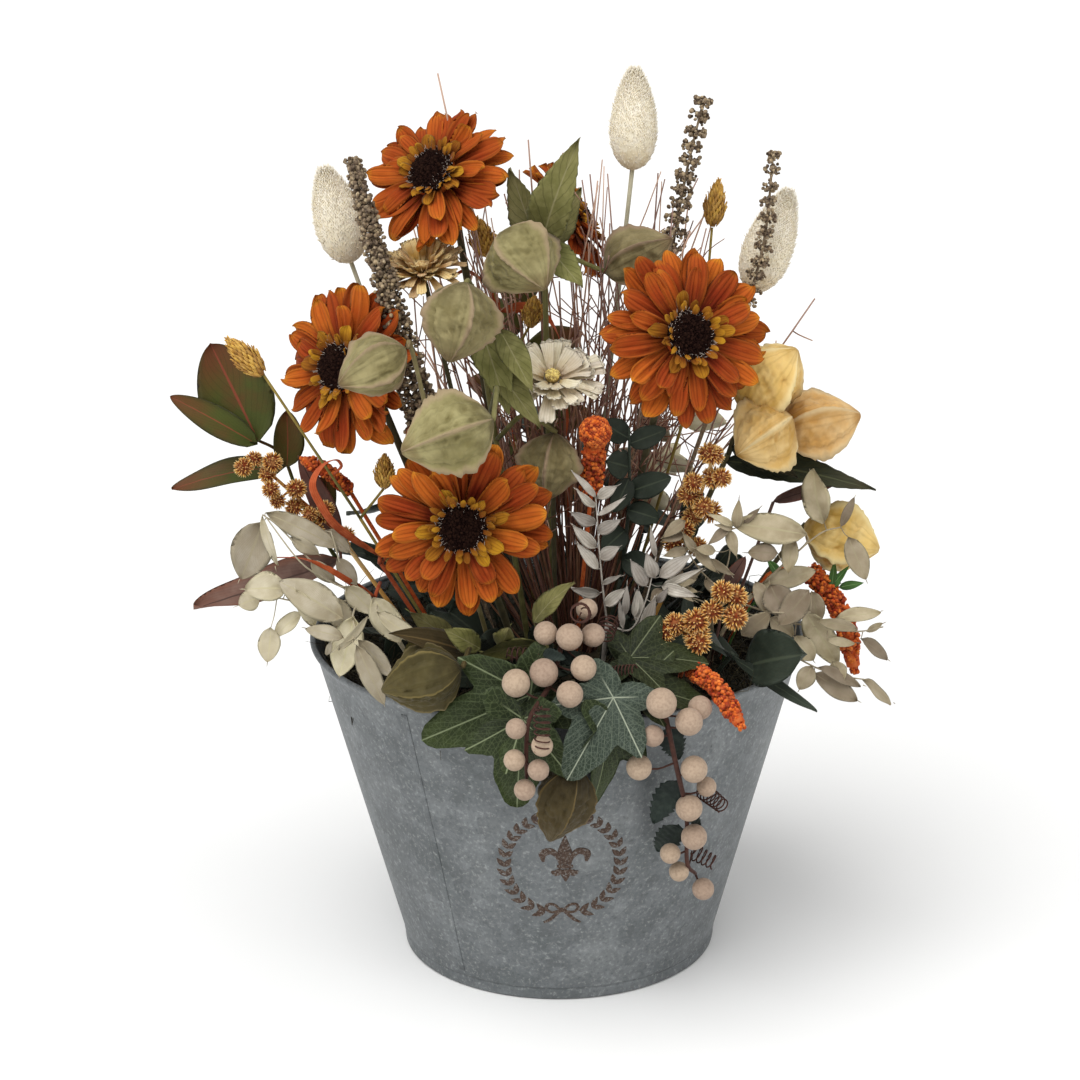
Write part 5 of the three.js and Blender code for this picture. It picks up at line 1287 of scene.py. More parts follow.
# %% Ivy leaves
# Each lobe: its direction in degrees, its reach, and its width in degrees.
LOBES = np.array([[0, 1.0, 42], [56, 0.72, 40], [-56, 0.72, 40], [118, 0.5, 50], [-118, 0.5, 50]])
LEAF_RINGS, VEIN_HALF = 9, 0.14
IVY_CLOTH = fibre_finish(
    "ivy_cloth", [(0, "#1d2615"), (0.5, "#2b3519"), (1, "#3e4923")], "#232b15", 5.0, 0.5, 0.4, 0.5, lines=7,
    slant=0.3, line_colour="#5f6a47", line_share=0.34, rib="#8e9873", bump=0.5, net=2.6, rib_half=0.07)
PALE_IVY_CLOTH = fibre_finish(
    "frosted_ivy_cloth", [(0, "#364036"), (0.6, "#2c362c"), (1, "#293324")], "#465046", 1.4, 0.6, 0.2, 0.5,
    lines=7, slant=0.3, line_colour="#6f7968", line_share=0.36, rib="#a5ab96", bump=0.5, net=2.0, rib_half=0.07)


def ivy_leaf(base, tip, facing, wide=1.0, seed=0, full=1.0, tone=0.6):
    """Rings from the middle of the lower skin, round the outline, and back to the middle of the upper skin."""
    base, tip, length, axes = span(base, tip, facing)
    luck = np.random.default_rng(seed).uniform(-1, 1, 4)
    angle = np.arange(90) * 4.0
    turn = (angle[:, None] - LOBES[:, 0] + 180) % 360 - 180
    reach = (LOBES[:, 1] * np.exp(-(np.abs(turn) / LOBES[:, 2] / full) ** 1.25)).max(1)
    reach = np.maximum(reach, 0.16) * (1 - 0.02 * np.cos(np.radians(angle) * 24))
    s = np.linspace(0.04, 1, LEAF_RINGS)
    s = np.concatenate([s, s[::-1]])[:, None]
    face = np.where(np.arange(2 * LEAF_RINGS) < LEAF_RINGS, -1, 1)[:, None]
    r = s * reach
    angle = np.radians(angle)
    x, y = wide * r * np.sin(angle), r * np.cos(angle)
    off = np.abs(np.sin(np.radians(turn)))[None] * r[..., None] + 3 * (np.abs(turn) > 90)[None]
    near = np.minimum(off.min(-1), 0.4) / VEIN_HALF
    bend = 0.22 * np.abs(x) - 0.16 * y**2 * (1 + luck[0]) + 0.05 * np.sin(5 * angle + luck[1]) * s**2
    quilt = 0.012 * np.exp(-(near / 0.25) ** 2)
    lift = bend - quilt + 0.5 * face * 0.6 / length * (s < 0.999)
    grid = lay(length * np.stack(np.broadcast_arrays(x, y, lift), -1), base, axes)
    return skins(grid, tone, across=near, along=np.broadcast_to(r, near.shape))


piece("ivy_leaves_left", [
    ivy_leaf((-14, -134, 196), (-73, -130, 168), (-0.1, -0.95, 0.3), 0.82, 1),
    ivy_leaf((-18, -142, 186), (-23, -132, 128), (-0.2, -1, 0.1), 0.8, 2),
    stem(1.3, (-12, -134, 196), (-14, -70), [(-12, -106, 192)], 20),
    wire([(-12, -133, 196), (-16, -140, 191), (-18, -142, 186)], 6, 0.9),
], IVY_CLOTH, "ivy_leaf", "ivy_left")
piece("ivy_leaf_frosted", [ivy_leaf((28, -141, 197), (4, -158, 158), (0.1, -0.9, 0.45), 0.92, 3, 1.1)],
      PALE_IVY_CLOTH, "ivy_leaf", "ivy_right")
piece("ivy_leaves_right", [
    ivy_leaf((25, -140, 182), (24, -136, 124), (0.5, -0.9, 0.1), 0.62, 4),
    # These two leaves get the lowest tones, so they are darker: painted shade.
    ivy_leaf((37, -116, 209), (78, -117, 211), (0.1, -0.6, 0.8), 0.9, 5, 1.1, 0.0),
    ivy_leaf((40, -128, 198), (80, -128, 190), (0.1, -0.6, 0.8), 0.9, 6, 1.1, 0.05),
    stem(1.3, (29, -140, 195), (22, -84), [(26, -112, 193)], 20),
    *[wire(ends, 5, 0.9) for ends in [[(29, -140, 195), (26, -141, 182)], [(26, -112, 193), (37, -116, 209)],
                                      [(27, -124, 194), (40, -128, 198)]]],
], IVY_CLOTH, "ivy_leaf")

# %% [markdown]
# ## Gum leaves
# Eucalyptus leaves are smooth and oval, from round to long, green with a bloom or turned brown. The
# cloth is pressed smooth, with fine veins at a steep slant; some leaves are flushed red from the rib.

# %% Gum leaf finishes and shape
def oval(v):
    """Widest before the middle, with round ends."""
    return np.sin(np.pi * v**0.86) ** 0.6


GUM_CLOTH = fibre_finish(
    "gum_leaf_cloth", [(0, "#20271e"), (0.5, "#293127"), (1, "#333b30")], "#3c4438", 6.0, 0.4, 0.25, 0.5,
    lines=10, slant=0.8, line_colour="#1e251d", line_share=0.3, rib="#444c3c")
GREEN_GUM_CLOTH = fibre_finish(
    "green_gum_leaf", [(0, "#434b1e"), (0.5, "#4a5020"), (1, "#6a3a20")], "#64341f", 16.0, 0.5, 0.2, 0.5,
    lines=8, slant=0.7, line_colour="#363a18", line_share=0.35, rib="#8c4430", edge="#3a3c1c", rib_half=0.05)
BROWN_GUM_CLOTH = fibre_finish(
    "brown_gum_leaf", [(0, "#4a3630"), (0.6, "#6b5048"), (1, "#7a5347")], "#82685e", 7.0, 0.5, 0.2, 0.6,
    lines=8, slant=0.7, line_colour="#4e3b34", line_share=0.35, rib="#3f2e29", edge="#7d4c3c")


def gum_leaf(root, tip, half, facing=(0.1, -1, 0.4), seed=0):
    """A smooth oval leaf."""
    tone = np.array([0.3 + 0.07 * (seed % 7)])
    return blades(root, tip, facing, half, oval, leaf_relief, 20, 22, 0.6, seed, tone)

# %% Gum branches
piece("gum_leaves_green", [
    gum_leaf((-158, -33, 302), (-180, -38, 353), 19.5, (0.1, -1, 0.1), 1),
    gum_leaf((-144, -24, 284), (-206, -28, 275), 9, (0.1, -0.6, 0.9), 2),
    gum_leaf((-158, -36, 300), (-202, -40, 328), 8, (0.2, -0.9, 0.4), 3),
    gum_leaf((-144, -24, 284), (-143, -20, 314), 8.5, (0.3, -1, 0.1), 4),
    gum_leaf((-128, -28, 250), (-121, -34, 284), 7, (0.1, -1, 0.3), 5),
    stem(1.4, (-116, -26, 228), (-78, -22), [(-100, -26, 200)]),
    wire([(-116, -26, 228), (-136, -24, 262), (-146, -24, 290), (-160, -34, 303)], 20, 1.2, 0.8),
], GREEN_GUM_CLOTH, "gum_leaf", "gum_leaves_left")
piece("gum_leaves_brown", [
    gum_leaf((-117, -28, 232), (-192, -64, 222), 12, (-0.1, -0.5, 0.9), 6),
    gum_leaf((-117, -30, 244), (-134, -40, 292), 6.5, (0.3, -1, 0.1), 7),
    gum_leaf((116, -22, 262), (150, -24, 276), 4, (0.1, -0.8, 0.6), 8),
    gum_leaf((88, -50, 222), (99, -58, 243), 4.5, (0.1, -1, 0.4), 9),
    wire([(88, -50, 222), (86, -44, 196), (80, -34, 166)], 8, 0.8),
    wire([(116, -22, 262), (104, -22, 226), (84, -18, 166)], 10, 0.9),
    wire([(-117, -30, 246), (-116, -28, 230)], 4, 0.9),
], BROWN_GUM_CLOTH, "gum_leaf")
piece("gum_leaves_dark", [
    gum_leaf((100, -84, 192), (128, -104, 206), 15.5, (0.3, -0.8, 0.55), 10),
    gum_leaf((90, -74, 193), (80, -100, 216), 8, (-0.1, -0.7, 0.8), 11),
    gum_leaf((92, -84, 196), (134, -112, 184), 4.5, (0.1, -0.5, 0.9), 12),
    stem(1.3, (92, -76, 196), (74, -62)), wire([(91, -75, 194), (100, -84, 192)], 4, 1.0),
], GUM_CLOTH, "gum_leaf", "gum_leaf_right")
piece("gum_leaves_inner", [
    *[gum_leaf(root, tip, half, seed=k) for k, (root, tip, half) in enumerate([
        ((38, -49, 306), (24, -52, 316), 6.5), ((38, -49, 303), (57, -50, 311), 6),
        ((38, -48, 290), (26, -56, 296), 8), ((38, -47, 276), (60, -50, 285), 7),
        ((37, -46, 266), (54, -50, 262), 6.5), ((36, -44, 254), (24, -54, 246), 7),
        ((35, -43, 238), (52, -52, 232), 7.5), ((38, -48, 284), (30, -56, 268), 6)])],
    stem(1.2, (34, -42, 226)), wire([(34, -42, 226), (38, -46, 270), (38, -50, 312)], 16, 1.1, 0.7),
], GUM_CLOTH, "gum_leaf", "gum_leaves_middle")
piece("gum_leaves_rear", [
    gum_leaf((-20, 74, 346), (-22, 84, 382), 12, (0, 1, 0.2), 1),
    *[gum_leaf(root, tip, 11.5, (0, 1, 0.3), k) for k, (root, tip) in enumerate([
        ((-19, 72, 334), (-48, 86, 346)), ((-18, 70, 318), (12, 86, 330)), ((-16, 66, 296), (-50, 80, 302)),
        ((-14, 62, 276), (20, 78, 284)), ((-12, 58, 256), (-42, 78, 258)), ((-11, 55, 242), (18, 76, 240))])],
    stem(1.3, (-10, 52, 230)), wire([(-10, 52, 230), (-16, 66, 290), (-20, 74, 350)], 16, 1.2, 0.8),
], GREEN_GUM_CLOTH, "gum_leaf", "gum_leaves_back")

# %% [markdown]
# ## Bleached leaves
# The bleached sprays have papery leaves in every size, each on its own thin stalk. A leaf here is
# written as seven numbers: its root, its tip and half its width. Its stalk runs from the nearest wire.
# Bleaching takes all the green and leaves a chalky straw colour, veins barely darker, edges paler.
# The right-hand sprays get a darker, greyer copy of that finish, which paints the shade they lie in,
# and the ruscus is coated with white paint, greyer where it is thin.

# %% Bleached finishes, and a spray of leaves
BLEACHED_LEAF = fibre_finish(
    "bleached_leaf", [(0, "#9c8f72"), (0.5, "#bdb298"), (1, "#aea288")], "#d6cdb8", 8.0, 0.55, 0.42, 0.7,
    lines=12, slant=0.9, line_colour="#8f8464", line_share=0.3, rib="#bcb291", edge="#bfb596", bump=0.4)
# A darker, greyer copy of the bleached leaf: painted shade for the right-hand sprays.
SHADED_BLEACHED_LEAF = fibre_finish(
    "bleached_leaf_painted_shade", [(0, "#84755d"), (0.5, "#a2937a"), (1, "#948569")], "#c0b29a", 8.0, 0.55, 0.42, 0.7,
    lines=12, slant=0.9, line_colour="#776c52", line_share=0.3, rib="#a3987b", edge="#a99e82", bump=0.4)
WHITE_RUSCUS = fibre_finish(
    "whitened_ruscus", [(0, "#8a8074"), (0.4, "#b5ada1"), (1, "#c2bab0")], "#d8d2c8", 5.0, 0.5, 0.35, 0.7,
    lines=2.5, line_colour="#8a8175", line_share=0.35, edge="#b8b2a6", bump=0.4)


def papery(v):
    """An oval with a small point at both ends."""
    return np.sin(np.pi * v**0.92) ** 0.68


def leafy_spray(line, wires, leaves, facing, outline=papery, seed=0, thick=0.6):
    """The stem, its wires, the leaves and a stalk for each leaf; each leaf ends in a fine needle."""
    roots, tips, halves = np.split(np.array(leaves, float), [3, 6], axis=1)
    rng = np.random.default_rng(seed)
    facings = np.asarray(facing, float) + 0.35 * rng.normal(size=roots.shape) * [1, 0.3, 1]
    made = [rod(line, 1.3)] + [wire(points, 24, 1.1 * thick, 0.6 * thick, 6) for points in wires]
    made += [link(wires, root, 0.5 * thick) for root in roots]
    made.append(blades(roots, tips, facings, halves[:, 0], outline, leaf_relief, 14, 16, 0.4, seed))
    needles = rng.uniform(1.5, 4, len(tips))
    made.append(spikes(tips - 0.5 * unit(tips - roots), tips - roots, needles, 0.3, seed))
    return made

# %% Bleached spray, left front
piece("bleached_leaves_left_front", leafy_spray(
    stem_line((-104, -66, 226), (-70, -44), [(-90, -58, 206)]),
    [[(-104, -66, 226), (-121, -74, 240), (-143, -78, 267), (-152, -79, 275)],
     [(-104, -66, 226), (-122, -78, 240), (-134, -84, 252), (-151, -80, 275)],
     [(-104, -66, 225), (-112, -70, 240), (-116, -70, 256), (-118, -68, 262)],
     [(-104, -66, 225), (-120, -84, 227), (-136, -92, 232), (-156, -90, 236)],
     [(-104, -66, 224), (-106, -92, 224), (-104, -106, 218), (-112, -108, 214)],
     [(-98, -60, 218), (-94, -84, 228), (-93, -100, 231)]],
    [(-152, -78, 271, -165, -84, 241, 11.2), (-152, -80, 275, -146, -84, 248, 3.0),
     (-151, -76, 275, -113, -72, 255, 6.0), (-140, -92, 239, -161, -98, 241, 8.4),
     (-154, -90, 234, -165, -92, 230, 5.6), (-111, -96, 224, -141, -100, 246, 9.4),
     (-125, -98, 221, -134, -99, 240, 4.6), (-148, -98, 220, -150, -104, 203, 6.2),
     (-132, -94, 226, -147, -98, 215, 5.0), (-110, -106, 217, -129, -108, 223, 4.4),
     (-113, -108, 211, -97, -104, 227, 2.6), (-119, -110, 209, -116, -111, 216, 2.0),
     (-105, -96, 225, -113, -104, 195, 8.8), (-102, -112, 218, -85, -118, 200, 5.2),
     (-103, -114, 216, -89, -122, 186, 5.6), (-115, -70, 248, -105, -72, 234, 4.4),
     (-121, -66, 262, -108, -66, 250, 4.6), (-95, -92, 234, -82, -101, 212, 8.0),
     (-93, -104, 230, -69, -112, 217, 5.0), (-130, -94, 233, -126, -98, 220, 4.4),
     (-128, -78, 250, -116, -76, 236, 4.2), (-138, -76, 262, -124, -76, 252, 4.0),
     (-110, -80, 236, -96, -84, 222, 6.0), (-118, -86, 232, -108, -90, 214, 6.5)],
    (0, -0.85, 0.5), seed=1), BLEACHED_LEAF, "bleached_leaf", "bleached_leaves_left")

# %% Bleached spray, right front
piece("bleached_leaves_right_front", leafy_spray(
    stem_line((104, -46, 218), (76, -36), [(92, -42, 202)]),
    [[(104, -46, 218), (109, -56, 228), (124, -54, 242), (140, -42, 251), (151, -38, 253)],
     [(102, -45, 214), (118, -54, 236), (131, -56, 250), (131, -56, 256)],
     [(100, -45, 212), (112, -68, 216), (128, -66, 215), (134, -60, 213)],
     [(98, -44, 208), (112, -52, 206), (140, -56, 203), (160, -52, 199), (174, -48, 200)],
     [(96, -43, 205), (112, -56, 196), (134, -62, 184), (150, -60, 177), (166, -54, 172)],
     [(98, -44, 208), (97, -62, 206), (98, -68, 214)]],
    [(131, -56, 255, 92, -60, 263, 8.2), (142, -40, 256, 134, -36, 284, 9.2),
     (151, -38, 253, 158, -36, 269, 2.6), (116, -60, 246, 100, -62, 247, 5.2),
     (155, -36, 247, 165, -40, 224, 6.2), (108, -56, 227, 138, -50, 233, 5.8),
     (112, -62, 229, 120, -70, 215, 8.6), (132, -70, 229, 116, -74, 211, 7.4),
     (135, -52, 222, 139, -54, 204, 5.4), (159, -58, 203, 138, -62, 208, 4.0),
     (148, -54, 207, 173, -48, 209, 4.4), (143, -60, 197, 159, -56, 194, 2.8),
     (165, -50, 198, 174, -48, 202, 2.0), (162, -50, 194, 177, -50, 182, 4.2),
     (131, -58, 213, 149, -60, 181, 8.0), (135, -64, 184, 128, -70, 173, 5.2),
     (138, -66, 184, 163, -62, 172, 3.8), (136, -62, 179, 160, -64, 164, 6.0),
     (163, -54, 172, 181, -50, 157, 4.6), (97, -70, 204, 111, -76, 218, 6.0),
     (104, -62, 231, 112, -66, 214, 5.0), (146, -62, 186, 152, -62, 175, 5.0),
     (124, -54, 254, 122, -60, 235, 5.0), (112, -66, 212, 124, -66, 202, 6.4),
     (126, -60, 200, 136, -62, 186, 6.0), (118, -60, 192, 112, -64, 178, 5.4)],
    (0, -0.85, 0.5), seed=2), SHADED_BLEACHED_LEAF, "bleached_leaf", "bleached_leaves_right")

# %% Small pointed leaves above it
piece("pointed_bleached_leaves", leafy_spray(
    stem_line((82, -50, 214), (84, -22)),
    [[(82, -50, 214), (90, -58, 240), (91, -61, 260)], [(82, -50, 214), (68, -58, 222), (60, -62, 228)],
     [(84, -54, 226), (76, -60, 236), (68, -62, 249), (66, -62, 258)]],
    [(92, -62, 262, 80, -66, 270, 2.6), (90, -62, 260, 94, -66, 246, 3.6), (90, -62, 261, 79, -66, 253, 3.2),
     (92, -62, 260, 83, -66, 264, 2.2), (94, -60, 260, 95, -62, 276, 3.4), (98, -58, 262, 106, -60, 271, 2.2),
     (74, -62, 236, 62, -66, 228, 3.2), (62, -62, 228, 76, -66, 239, 3.2), (60, -62, 228, 72, -66, 222, 3.2),
     (63, -62, 228, 74, -66, 227, 2.6), (57, -62, 237, 69, -66, 246, 4.2), (72, -62, 249, 84, -66, 238, 3.6),
     (81, -62, 244, 92, -66, 235, 3.8), (66, -62, 258, 55, -66, 255, 4.4), (67, -62, 265, 55, -66, 257, 3.8),
     (55, -62, 227, 49, -66, 221, 3.4), (68, -62, 249, 56, -66, 247, 3.4), (73, -62, 247, 66, -66, 259, 2.8),
     (83, -62, 248, 72, -66, 251, 3.4), (78, -60, 232, 86, -64, 222, 3.2), (66, -62, 238, 58, -66, 232, 3.2)],
    (0, -0.9, 0.5), pointed, 3, 0.5), SHADED_BLEACHED_LEAF, "bleached_leaf")

# %% Whitened ruscus
def upright(root_depth, tip_depth, rows):
    """Leaves of a flat upright stem: each (x, z) to (x, z) and half its width, all between two depths."""
    return [(x, root_depth, z, x2, tip_depth, z2, half) for x, z, x2, z2, half in rows]


piece("whitened_ruscus_sprays", leafy_spray(
    stem_line((26, -80, 214), (22, -62), [(24, -70, 190)]),
    [[(26, -80, 214), (24, -83, 232), (22, -84, 254), (20, -84, 285)],
     [(26, -80, 214), (38, -88, 214), (46, -89, 231), (51, -88, 254)], [(34, -86, 212), (35, -88, 224)]],
    [*upright(-84, -87, [
         (20, 285, 8, 300, 2.2), (21, 285, 31, 292, 3.6), (20, 280, 10, 290, 3.0), (21, 275, 34, 286, 2.0),
         (20, 271, 7, 278, 4.3), (21, 266, 33, 274, 4.0), (20, 258, 8, 271, 4.0), (22, 252, 32, 259, 4.2),
         (21, 246, 11, 261, 3.6), (23, 238, 33, 243, 2.2), (22, 233, 7, 237, 4.2), (25, 226, 35, 236, 3.8)]),
     *upright(-88, -91, [
         (46, 238, 38, 253, 4.3), (50, 243, 46, 257, 4.4), (51, 254, 48, 271, 1.9), (53, 243, 69, 256, 4.7),
         (54, 238, 75, 247, 2.8), (54, 238, 72, 233, 3.8), (43, 215, 42, 237, 3.6), (44, 213, 51, 233, 4.4),
         (52, 229, 57, 238, 2.4), (35, 222, 36, 240, 2.4), (34, 215, 32, 231, 2.2), (40, 221, 40, 236, 2.6)])],
    (0, -1, 0.25), pointed, 4, 0.55), WHITE_RUSCUS, "bleached_leaf", "bleached_ruscus")

# %% Bleached spray at the back
piece("bleached_leaves_rear", leafy_spray(
    stem_line((40, 60, 236), (28, 44), [(34, 52, 200)]),
    [[(40, 60, 236), (64, 78, 266), (86, 86, 300)], [(40, 60, 236), (50, 86, 246), (60, 112, 240)]],
    [(50, 68, 248, 36, 80, 262, 8), (56, 72, 256, 78, 80, 250, 8), (64, 78, 266, 48, 88, 284, 8.5),
     (72, 80, 278, 96, 88, 276, 8), (80, 84, 290, 66, 92, 308, 7.5), (86, 86, 300, 102, 92, 316, 7.5),
     (46, 76, 242, 28, 90, 246, 7.5), (52, 90, 246, 72, 100, 258, 7.5), (56, 102, 243, 44, 116, 252, 7),
     (60, 112, 240, 70, 128, 232, 7), (48, 70, 240, 64, 84, 226, 7.5), (44, 66, 238, 26, 72, 226, 7)],
    (0.1, 0.9, 0.5), seed=5), BLEACHED_LEAF, "bleached_leaf", "bleached_leaves_back")

# %% [markdown]
# ## Fine grass
# A tuft of fine brown grass stands in the middle. Its stems leave the foam together and fan out;
# each forks near its end. Dyed grass fades from red-brown at the foot to pinkish straw at the tip.

# %% Fine grass
TWIG_BROWN = fibre_finish(
    "fine_brown_grass", [(0, "#4c2c1f"), (0.45, "#8a5a43"), (1, "#bd9c8c")], "#ab8472", 12.0, 0.5, 0.45, 0.75)


TUFT_FOOT = np.array([9, -11, 146])


def grass_fan(tips, seed, thick, forks, wander=2.5):
    """Stems from the tuft's foot bend outwards to their tips; side twigs leave them over the last half."""
    rng = np.random.default_rng(seed)
    made = []
    for tip in tips:
        tip = np.asarray(tip, float)
        foot = TUFT_FOOT + rng.uniform(-2.5, 2.5, 3) * [1, 1, 0]
        middle = 0.5 * (foot + tip) + [0, 0, 14] + rng.normal(0, wander, 3)
        path = course([foot, middle, tip], 12)
        made.append(rod(path, *thick, sides=4, tone=rng.uniform(), bumps=0.1))
        for s in rng.uniform(0.45, 0.92, forks):
            start = path[int(11 * s)]
            way = unit(tip - middle) + 0.6 * rng.normal(size=3)
            end = start + unit(way) * rng.uniform(12, 30)
            side = course([start, 0.5 * (start + end) + rng.normal(0, 1.2, 3), end], 5)
            made.append(rod(side, 0.8 * thick[1], 0.35, 4, rng.uniform()))
    return made


CROWD = 125
rng = np.random.default_rng(12)
spread = rng.uniform(0, 1, (CROWD, 3))
crowd = np.stack([-84 + 188 * spread[:, 0], -30 + 82 * spread[:, 1], 446 - 136 * spread[:, 2] ** 1.3], -1)
crowd[:, 2] -= 0.3 * np.abs(crowd[:, 0] - 10)
piece("fine_grass_tuft", grass_fan([
    (-61, 10, 488), (-14, 14, 452), (59, 36, 426), (138, 2, 368), (26, 0, 399), (-27, 6, 396), (2, 12, 376),
    (30, 4, 352), (76, 30, 362), (-40, 4, 372)], 1, (0.9, 0.45), 5), TWIG_BROWN, "twig", "grass_twigs")
piece("fine_grass_crowd", grass_fan(crowd, 2, (0.7, 0.4), 4, 14.0), TWIG_BROWN, "twig")

# %% [markdown]
# ## Curled ribbons
# Strips of dried leaf, dyed orange, were soaked and curled round a finger. Each is a flat band that
# turns about its own line, dull, with two darker lines along it.

# %% Curled ribbons
CURL_PAPER = fibre_finish(
    "curled_orange_leaf", [(0, "#8c3d1d"), (0.5, "#b9532b"), (1, "#a44a2a")], "#cf6f42", 4.0, 0.5, 0.2, 0.65,
    lines=2, line_colour="#7c3418", line_share=0.4)


def ribbon(points, half, twist, seed=0):
    """A flat band along a line: half (1.03 - t)^0.4 cos + 0.3 sin in a frame that turns by twist."""
    rows = 40
    path = course(points, rows)
    t = np.linspace(0, 1, rows)[:, None, None]
    x, _, z = frame_of(np.gradient(path, axis=0), (0.2, -1, 0.5))
    x, z = x[:, None], z[:, None]
    roll = twist * t + 0.5 * np.sin(7 * t + seed)
    wide = np.cos(roll) * x + np.sin(roll) * z
    deep = -np.sin(roll) * x + np.cos(roll) * z
    angle = (TAU * np.arange(10) / 10)[None, :, None]
    size = half * (1.03 - t) ** 0.4 * np.minimum(1, 6 * t + 0.3)
    return skins(path[:, None] + size * np.cos(angle) * wide + 0.3 * np.sin(angle) * deep, 0.5)


piece("curled_ribbons", [
    ribbon([(-93, -58, 245), (-109, -66, 259), (-117, -70, 268), (-122, -72, 277), (-126, -74, 287),
            (-125, -74, 294), (-120, -72, 300), (-114, -68, 301), (-112, -63, 296), (-116, -60, 291)],
           2.6, 2.0, 1),
    ribbon([(-96, -66, 225), (-111, -74, 238), (-121, -78, 246), (-133, -79, 251), (-149, -77, 251)],
           1.8, 1.5, 2),
    ribbon([(-30, 12, 360), (-14, 6, 363), (-3, 0, 357), (3, -2, 344), (4, -4, 330)], 3.0, 1.2, 3),
    ribbon([(-92, -54, 240), (-80, -60, 262), (-74, -64, 290), (-78, -60, 312), (-70, -58, 322)], 1.8, 2.4, 4),
    ribbon([(-30, 12, 360), (-36, 16, 372), (-48, 20, 380), (-58, 22, 374)], 2.2, 1.8, 5),
    stem(1.2, (-94, -52, 240)), wire([(-94, -52, 239), (-93, -57, 245)], 4, 1.2),
    wire([(-94, -52, 228), (-96, -66, 225)], 4, 1.0), stem(1.1, (-30, 12, 361)),
    wire([(4, -4, 330), (6, -6, 300), (6, -8, 250)], 8, 0.9),
], CURL_PAPER, "curl", "leaf_curls")

# %% [markdown]
# ## Green filling
# Dark toothed leaves sit on the berry wires, olive ones over the rim, and small bright boxwood leaves
# under the ochre pods. All are cloth; the boxwood is plastic-coated and so a little glossier.

# %% Green filling
TOOTHED_DARK = fibre_finish(
    "dark_toothed_leaf", [(0, "#1d2522"), (1, "#2b342f")], "#3a443c", 4.0, 0.5, 0.3, 0.6, lines=7, slant=0.34,
    line_colour="#1d2620", line_share=0.4)
FRESH_LEAF = fibre_finish(
    "fresh_green_leaf", [(0, "#35542a"), (1, "#4c7436")], "#5d8648", 4.0, 0.4, 0.3, 0.45, rib="#7fa165")


def saw_edged(v):
    """A broad leaf with seven deep teeth."""
    return pointed(v) ** 0.7 * (0.84 + 0.32 * (1 - (7 * v) % 1.0))


berry_spines = [spray["spine"] for spray in BERRIES.values()]
dark_leaves = [
    ((61, -128, 146), (49, -124, 120), 8), ((62, -121, 118), (51, -114, 97), 7.5),
    ((55, -137, 179), (62, -134, 160), 7), ((-4, -122, 215), (12, -124, 208), 4),
    ((-7, -132, 218), (4, -138, 217), 3.5), ((66, -132, 132), (74, -126, 118), 3.5)]
piece("toothed_leaves_on_berries", [
    *[leaf(*place, (0.1, -1, 0.3), saw_edged, k, 45, 14) for k, place in enumerate(dark_leaves)],
    *[link(berry_spines, root, 0.6) for root, _, _ in dark_leaves],
], TOOTHED_DARK, "ivy_leaf")
piece("olive_leaves_at_rim", leafy_spray(
    stem_line((-6, -104, 214), (-4, -80)),
    [[(-6, -104, 214), (-10, -110, 222)], [(-8, -100, 208), (-30, -106, 207), (-66, -98, 214)]],
    [(-8, -110, 215, -46, -119, 205, 9), (-12, -110, 226, 8, -116, 250, 7.5),
     (-66, -98, 214, -80, -113, 208, 6), (-40, -104, 210, -58, -118, 226, 7),
     (-50, -102, 210, -76, -108, 232, 7.5), (-30, -104, 209, -24, -114, 226, 7)],
    (0, -0.8, 0.6), toothed, 6), OLIVE_LEAF, "sage_paper")
box_leaves = [
    ((146, -28, 214), (158, -22, 226), 2.6), ((148, -27, 216), (150, -24, 229), 2.4),
    ((152, -24, 214), (166, -22, 216), 2.8), ((140, -30, 210), (138, -34, 201), 3.2),
    ((118, -36, 226), (112, -40, 236), 3), ((116, -36, 224), (126, -40, 222), 2.6)]
box_lines = [[(86, -30, 166), (100, -32, 200), (118, -36, 224), (116, -37, 230)],
             [(106, -33, 208), (126, -32, 206), (146, -28, 214), (153, -25, 217)]]
piece("boxwood_twigs", [
    *[leaf(*place, (0.1, -1, 0.5), pointed, k, 12, 12) for k, place in enumerate(box_leaves)],
    *[link(box_lines, root, 0.4) for root, _, _ in box_leaves],
    *[wire(line, 16, 0.8, 0.5, 6) for line in box_lines],
], FRESH_LEAF, "ivy_leaf")

# %% [markdown]
# Behind and between the flowers, plain dark gum leaves on short wires fill the gaps all round, taller
# towards the back, so that the foam and the bare stems stay hidden from every side.

# %% Filling leaves all round
FILLING = 96
rng = np.random.default_rng(21)
fill = []
for k, turn in enumerate(np.linspace(0, TAU, FILLING, endpoint=False) + rng.uniform(-0.05, 0.05, FILLING)):
    way = np.array([np.sin(turn), -np.cos(turn), 0])
    reach, height = rng.uniform(50, 98), rng.uniform(176, 234 - 44 * np.cos(turn))
    root = way * reach + [0, 0, height]
    tip = root + way * rng.uniform(14, 26) + rng.normal(0, 7, 3) + [0, 0, rng.uniform(-4, 18)]
    fill.append(gum_leaf(root, tip, rng.uniform(6, 10.5), way + [0, 0, 0.9] + 0.3 * rng.normal(size=3), k))
    bend = way * 0.8 * reach + [0, 0, 0.5 * height + 82]
    fill.append(wire([way * 0.55 * reach + [0, 0, 158], bend, root], 7, 1.0, 0.7, 6))
piece("filling_leaves", fill, GUM_CLOTH, "gum_leaf")

# %% [markdown]
# ## Floor, light and camera
# The arrangement stands on a pale studio floor. The main light is high, broad and from the left, and
# a weak one comes from the right, so that leaves throw soft shadows on each other.

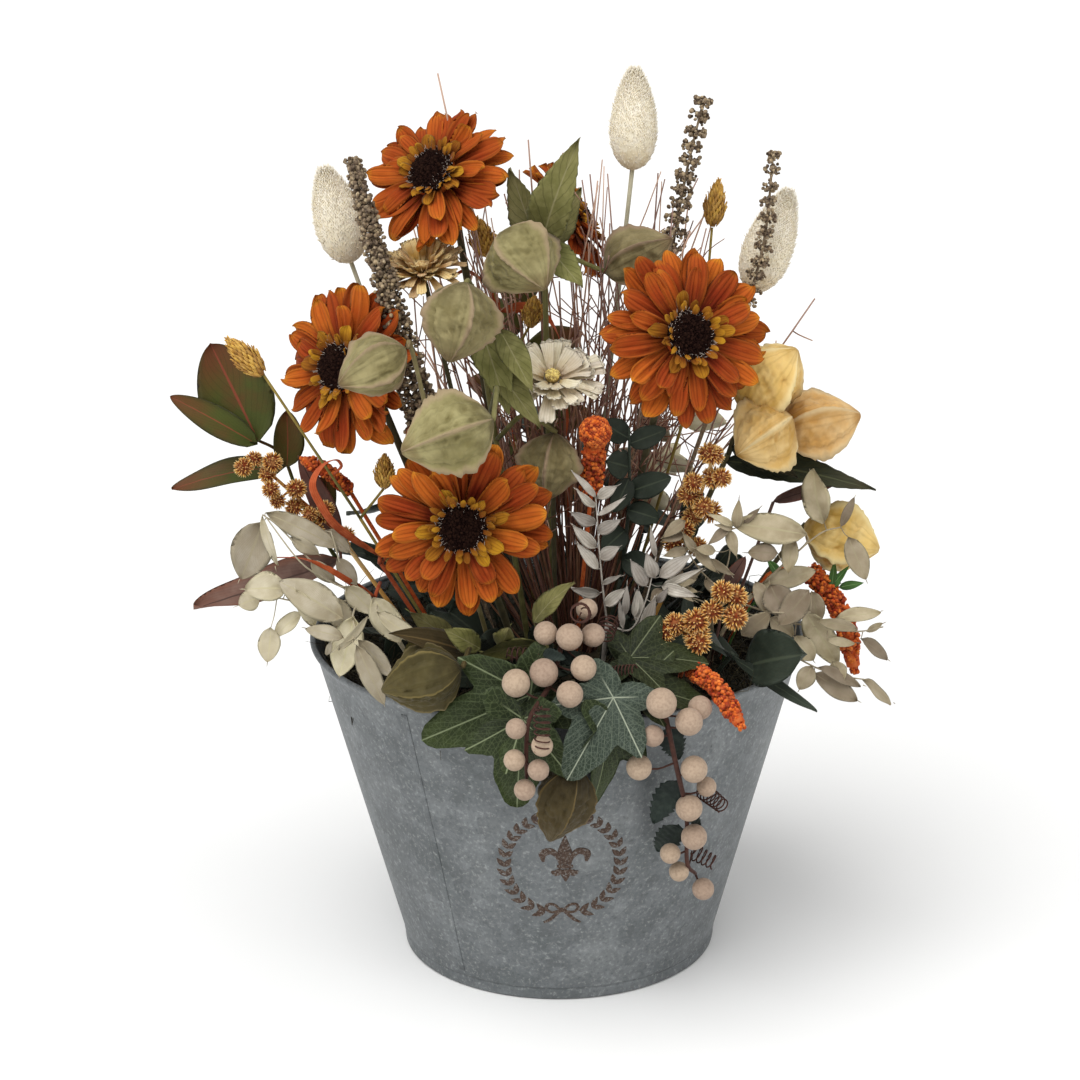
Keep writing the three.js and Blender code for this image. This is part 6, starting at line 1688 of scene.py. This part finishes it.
# %% Floor
floor_mesh = bpy.data.meshes.new("studio_floor")
HALF, BELOW = 40, -0.0005  # half the floor's side in metres, and its height just under the pot
corners = [(-HALF, -HALF, BELOW), (HALF, -HALF, BELOW), (HALF, HALF, BELOW), (-HALF, HALF, BELOW)]
floor_mesh.from_pydata(corners, [], [(0, 1, 2, 3)])
floor = bpy.data.objects.new("studio_floor", floor_mesh)
bpy.context.scene.collection.objects.link(floor)
floor_paint, tree = new_material("pale_floor_paint")
shader = add_node(tree, "BsdfPrincipled", {"Base Color": light("#f6f6f5"), "Roughness": 0.9})
add_node(tree, "OutputMaterial", {"Surface": shader})
floor_mesh.materials.append(floor_paint)
print("floor:", 2 * HALF, "m square")

# %% Lights and camera
def sun(name, place, softness, strength):
    """A sun that shines from place to the middle; its softness is an angle in degrees."""
    data = bpy.data.lights.new(name, "SUN")
    data.angle, data.energy = np.radians(softness), strength
    made = bpy.data.objects.new(name, data)
    made.rotation_euler = (-Vector(place)).to_track_quat("-Z", "Y").to_euler()
    bpy.context.scene.collection.objects.link(made)


sun("key_light", (-0.55, -0.75, 1.5), 55, 2.4)
sun("fill_light", (1.2, -0.6, 1.0), 60, 0.5)
world = bpy.data.worlds.new("studio_world")
world.use_nodes = True
sky = world.node_tree.nodes["Background"].inputs
sky["Color"].default_value, sky["Strength"].default_value = (1, 1, 1, 1), 0.5
bpy.context.scene.world = world

CAMERA_PLACE, CAMERA_AIM, CAMERA_ROLL = (0, -1522.6, 741.8), (-9.3, 0, 234), np.radians(-0.43)
camera_data = bpy.data.cameras.new("camera")
camera_data.lens, camera_data.sensor_width = 97.9, 36
camera = bpy.data.objects.new("camera", camera_data)
camera.location = Vector(CAMERA_PLACE) * MM
aim = Vector(CAMERA_AIM) * MM - camera.location
turn = aim.to_track_quat("-Z", "Y") @ Quaternion((0, 0, 1), CAMERA_ROLL)
camera.rotation_euler = turn.to_euler()
bpy.context.scene.collection.objects.link(camera)
bpy.context.scene.camera = camera
bpy.context.scene.view_settings.view_transform = "Standard"
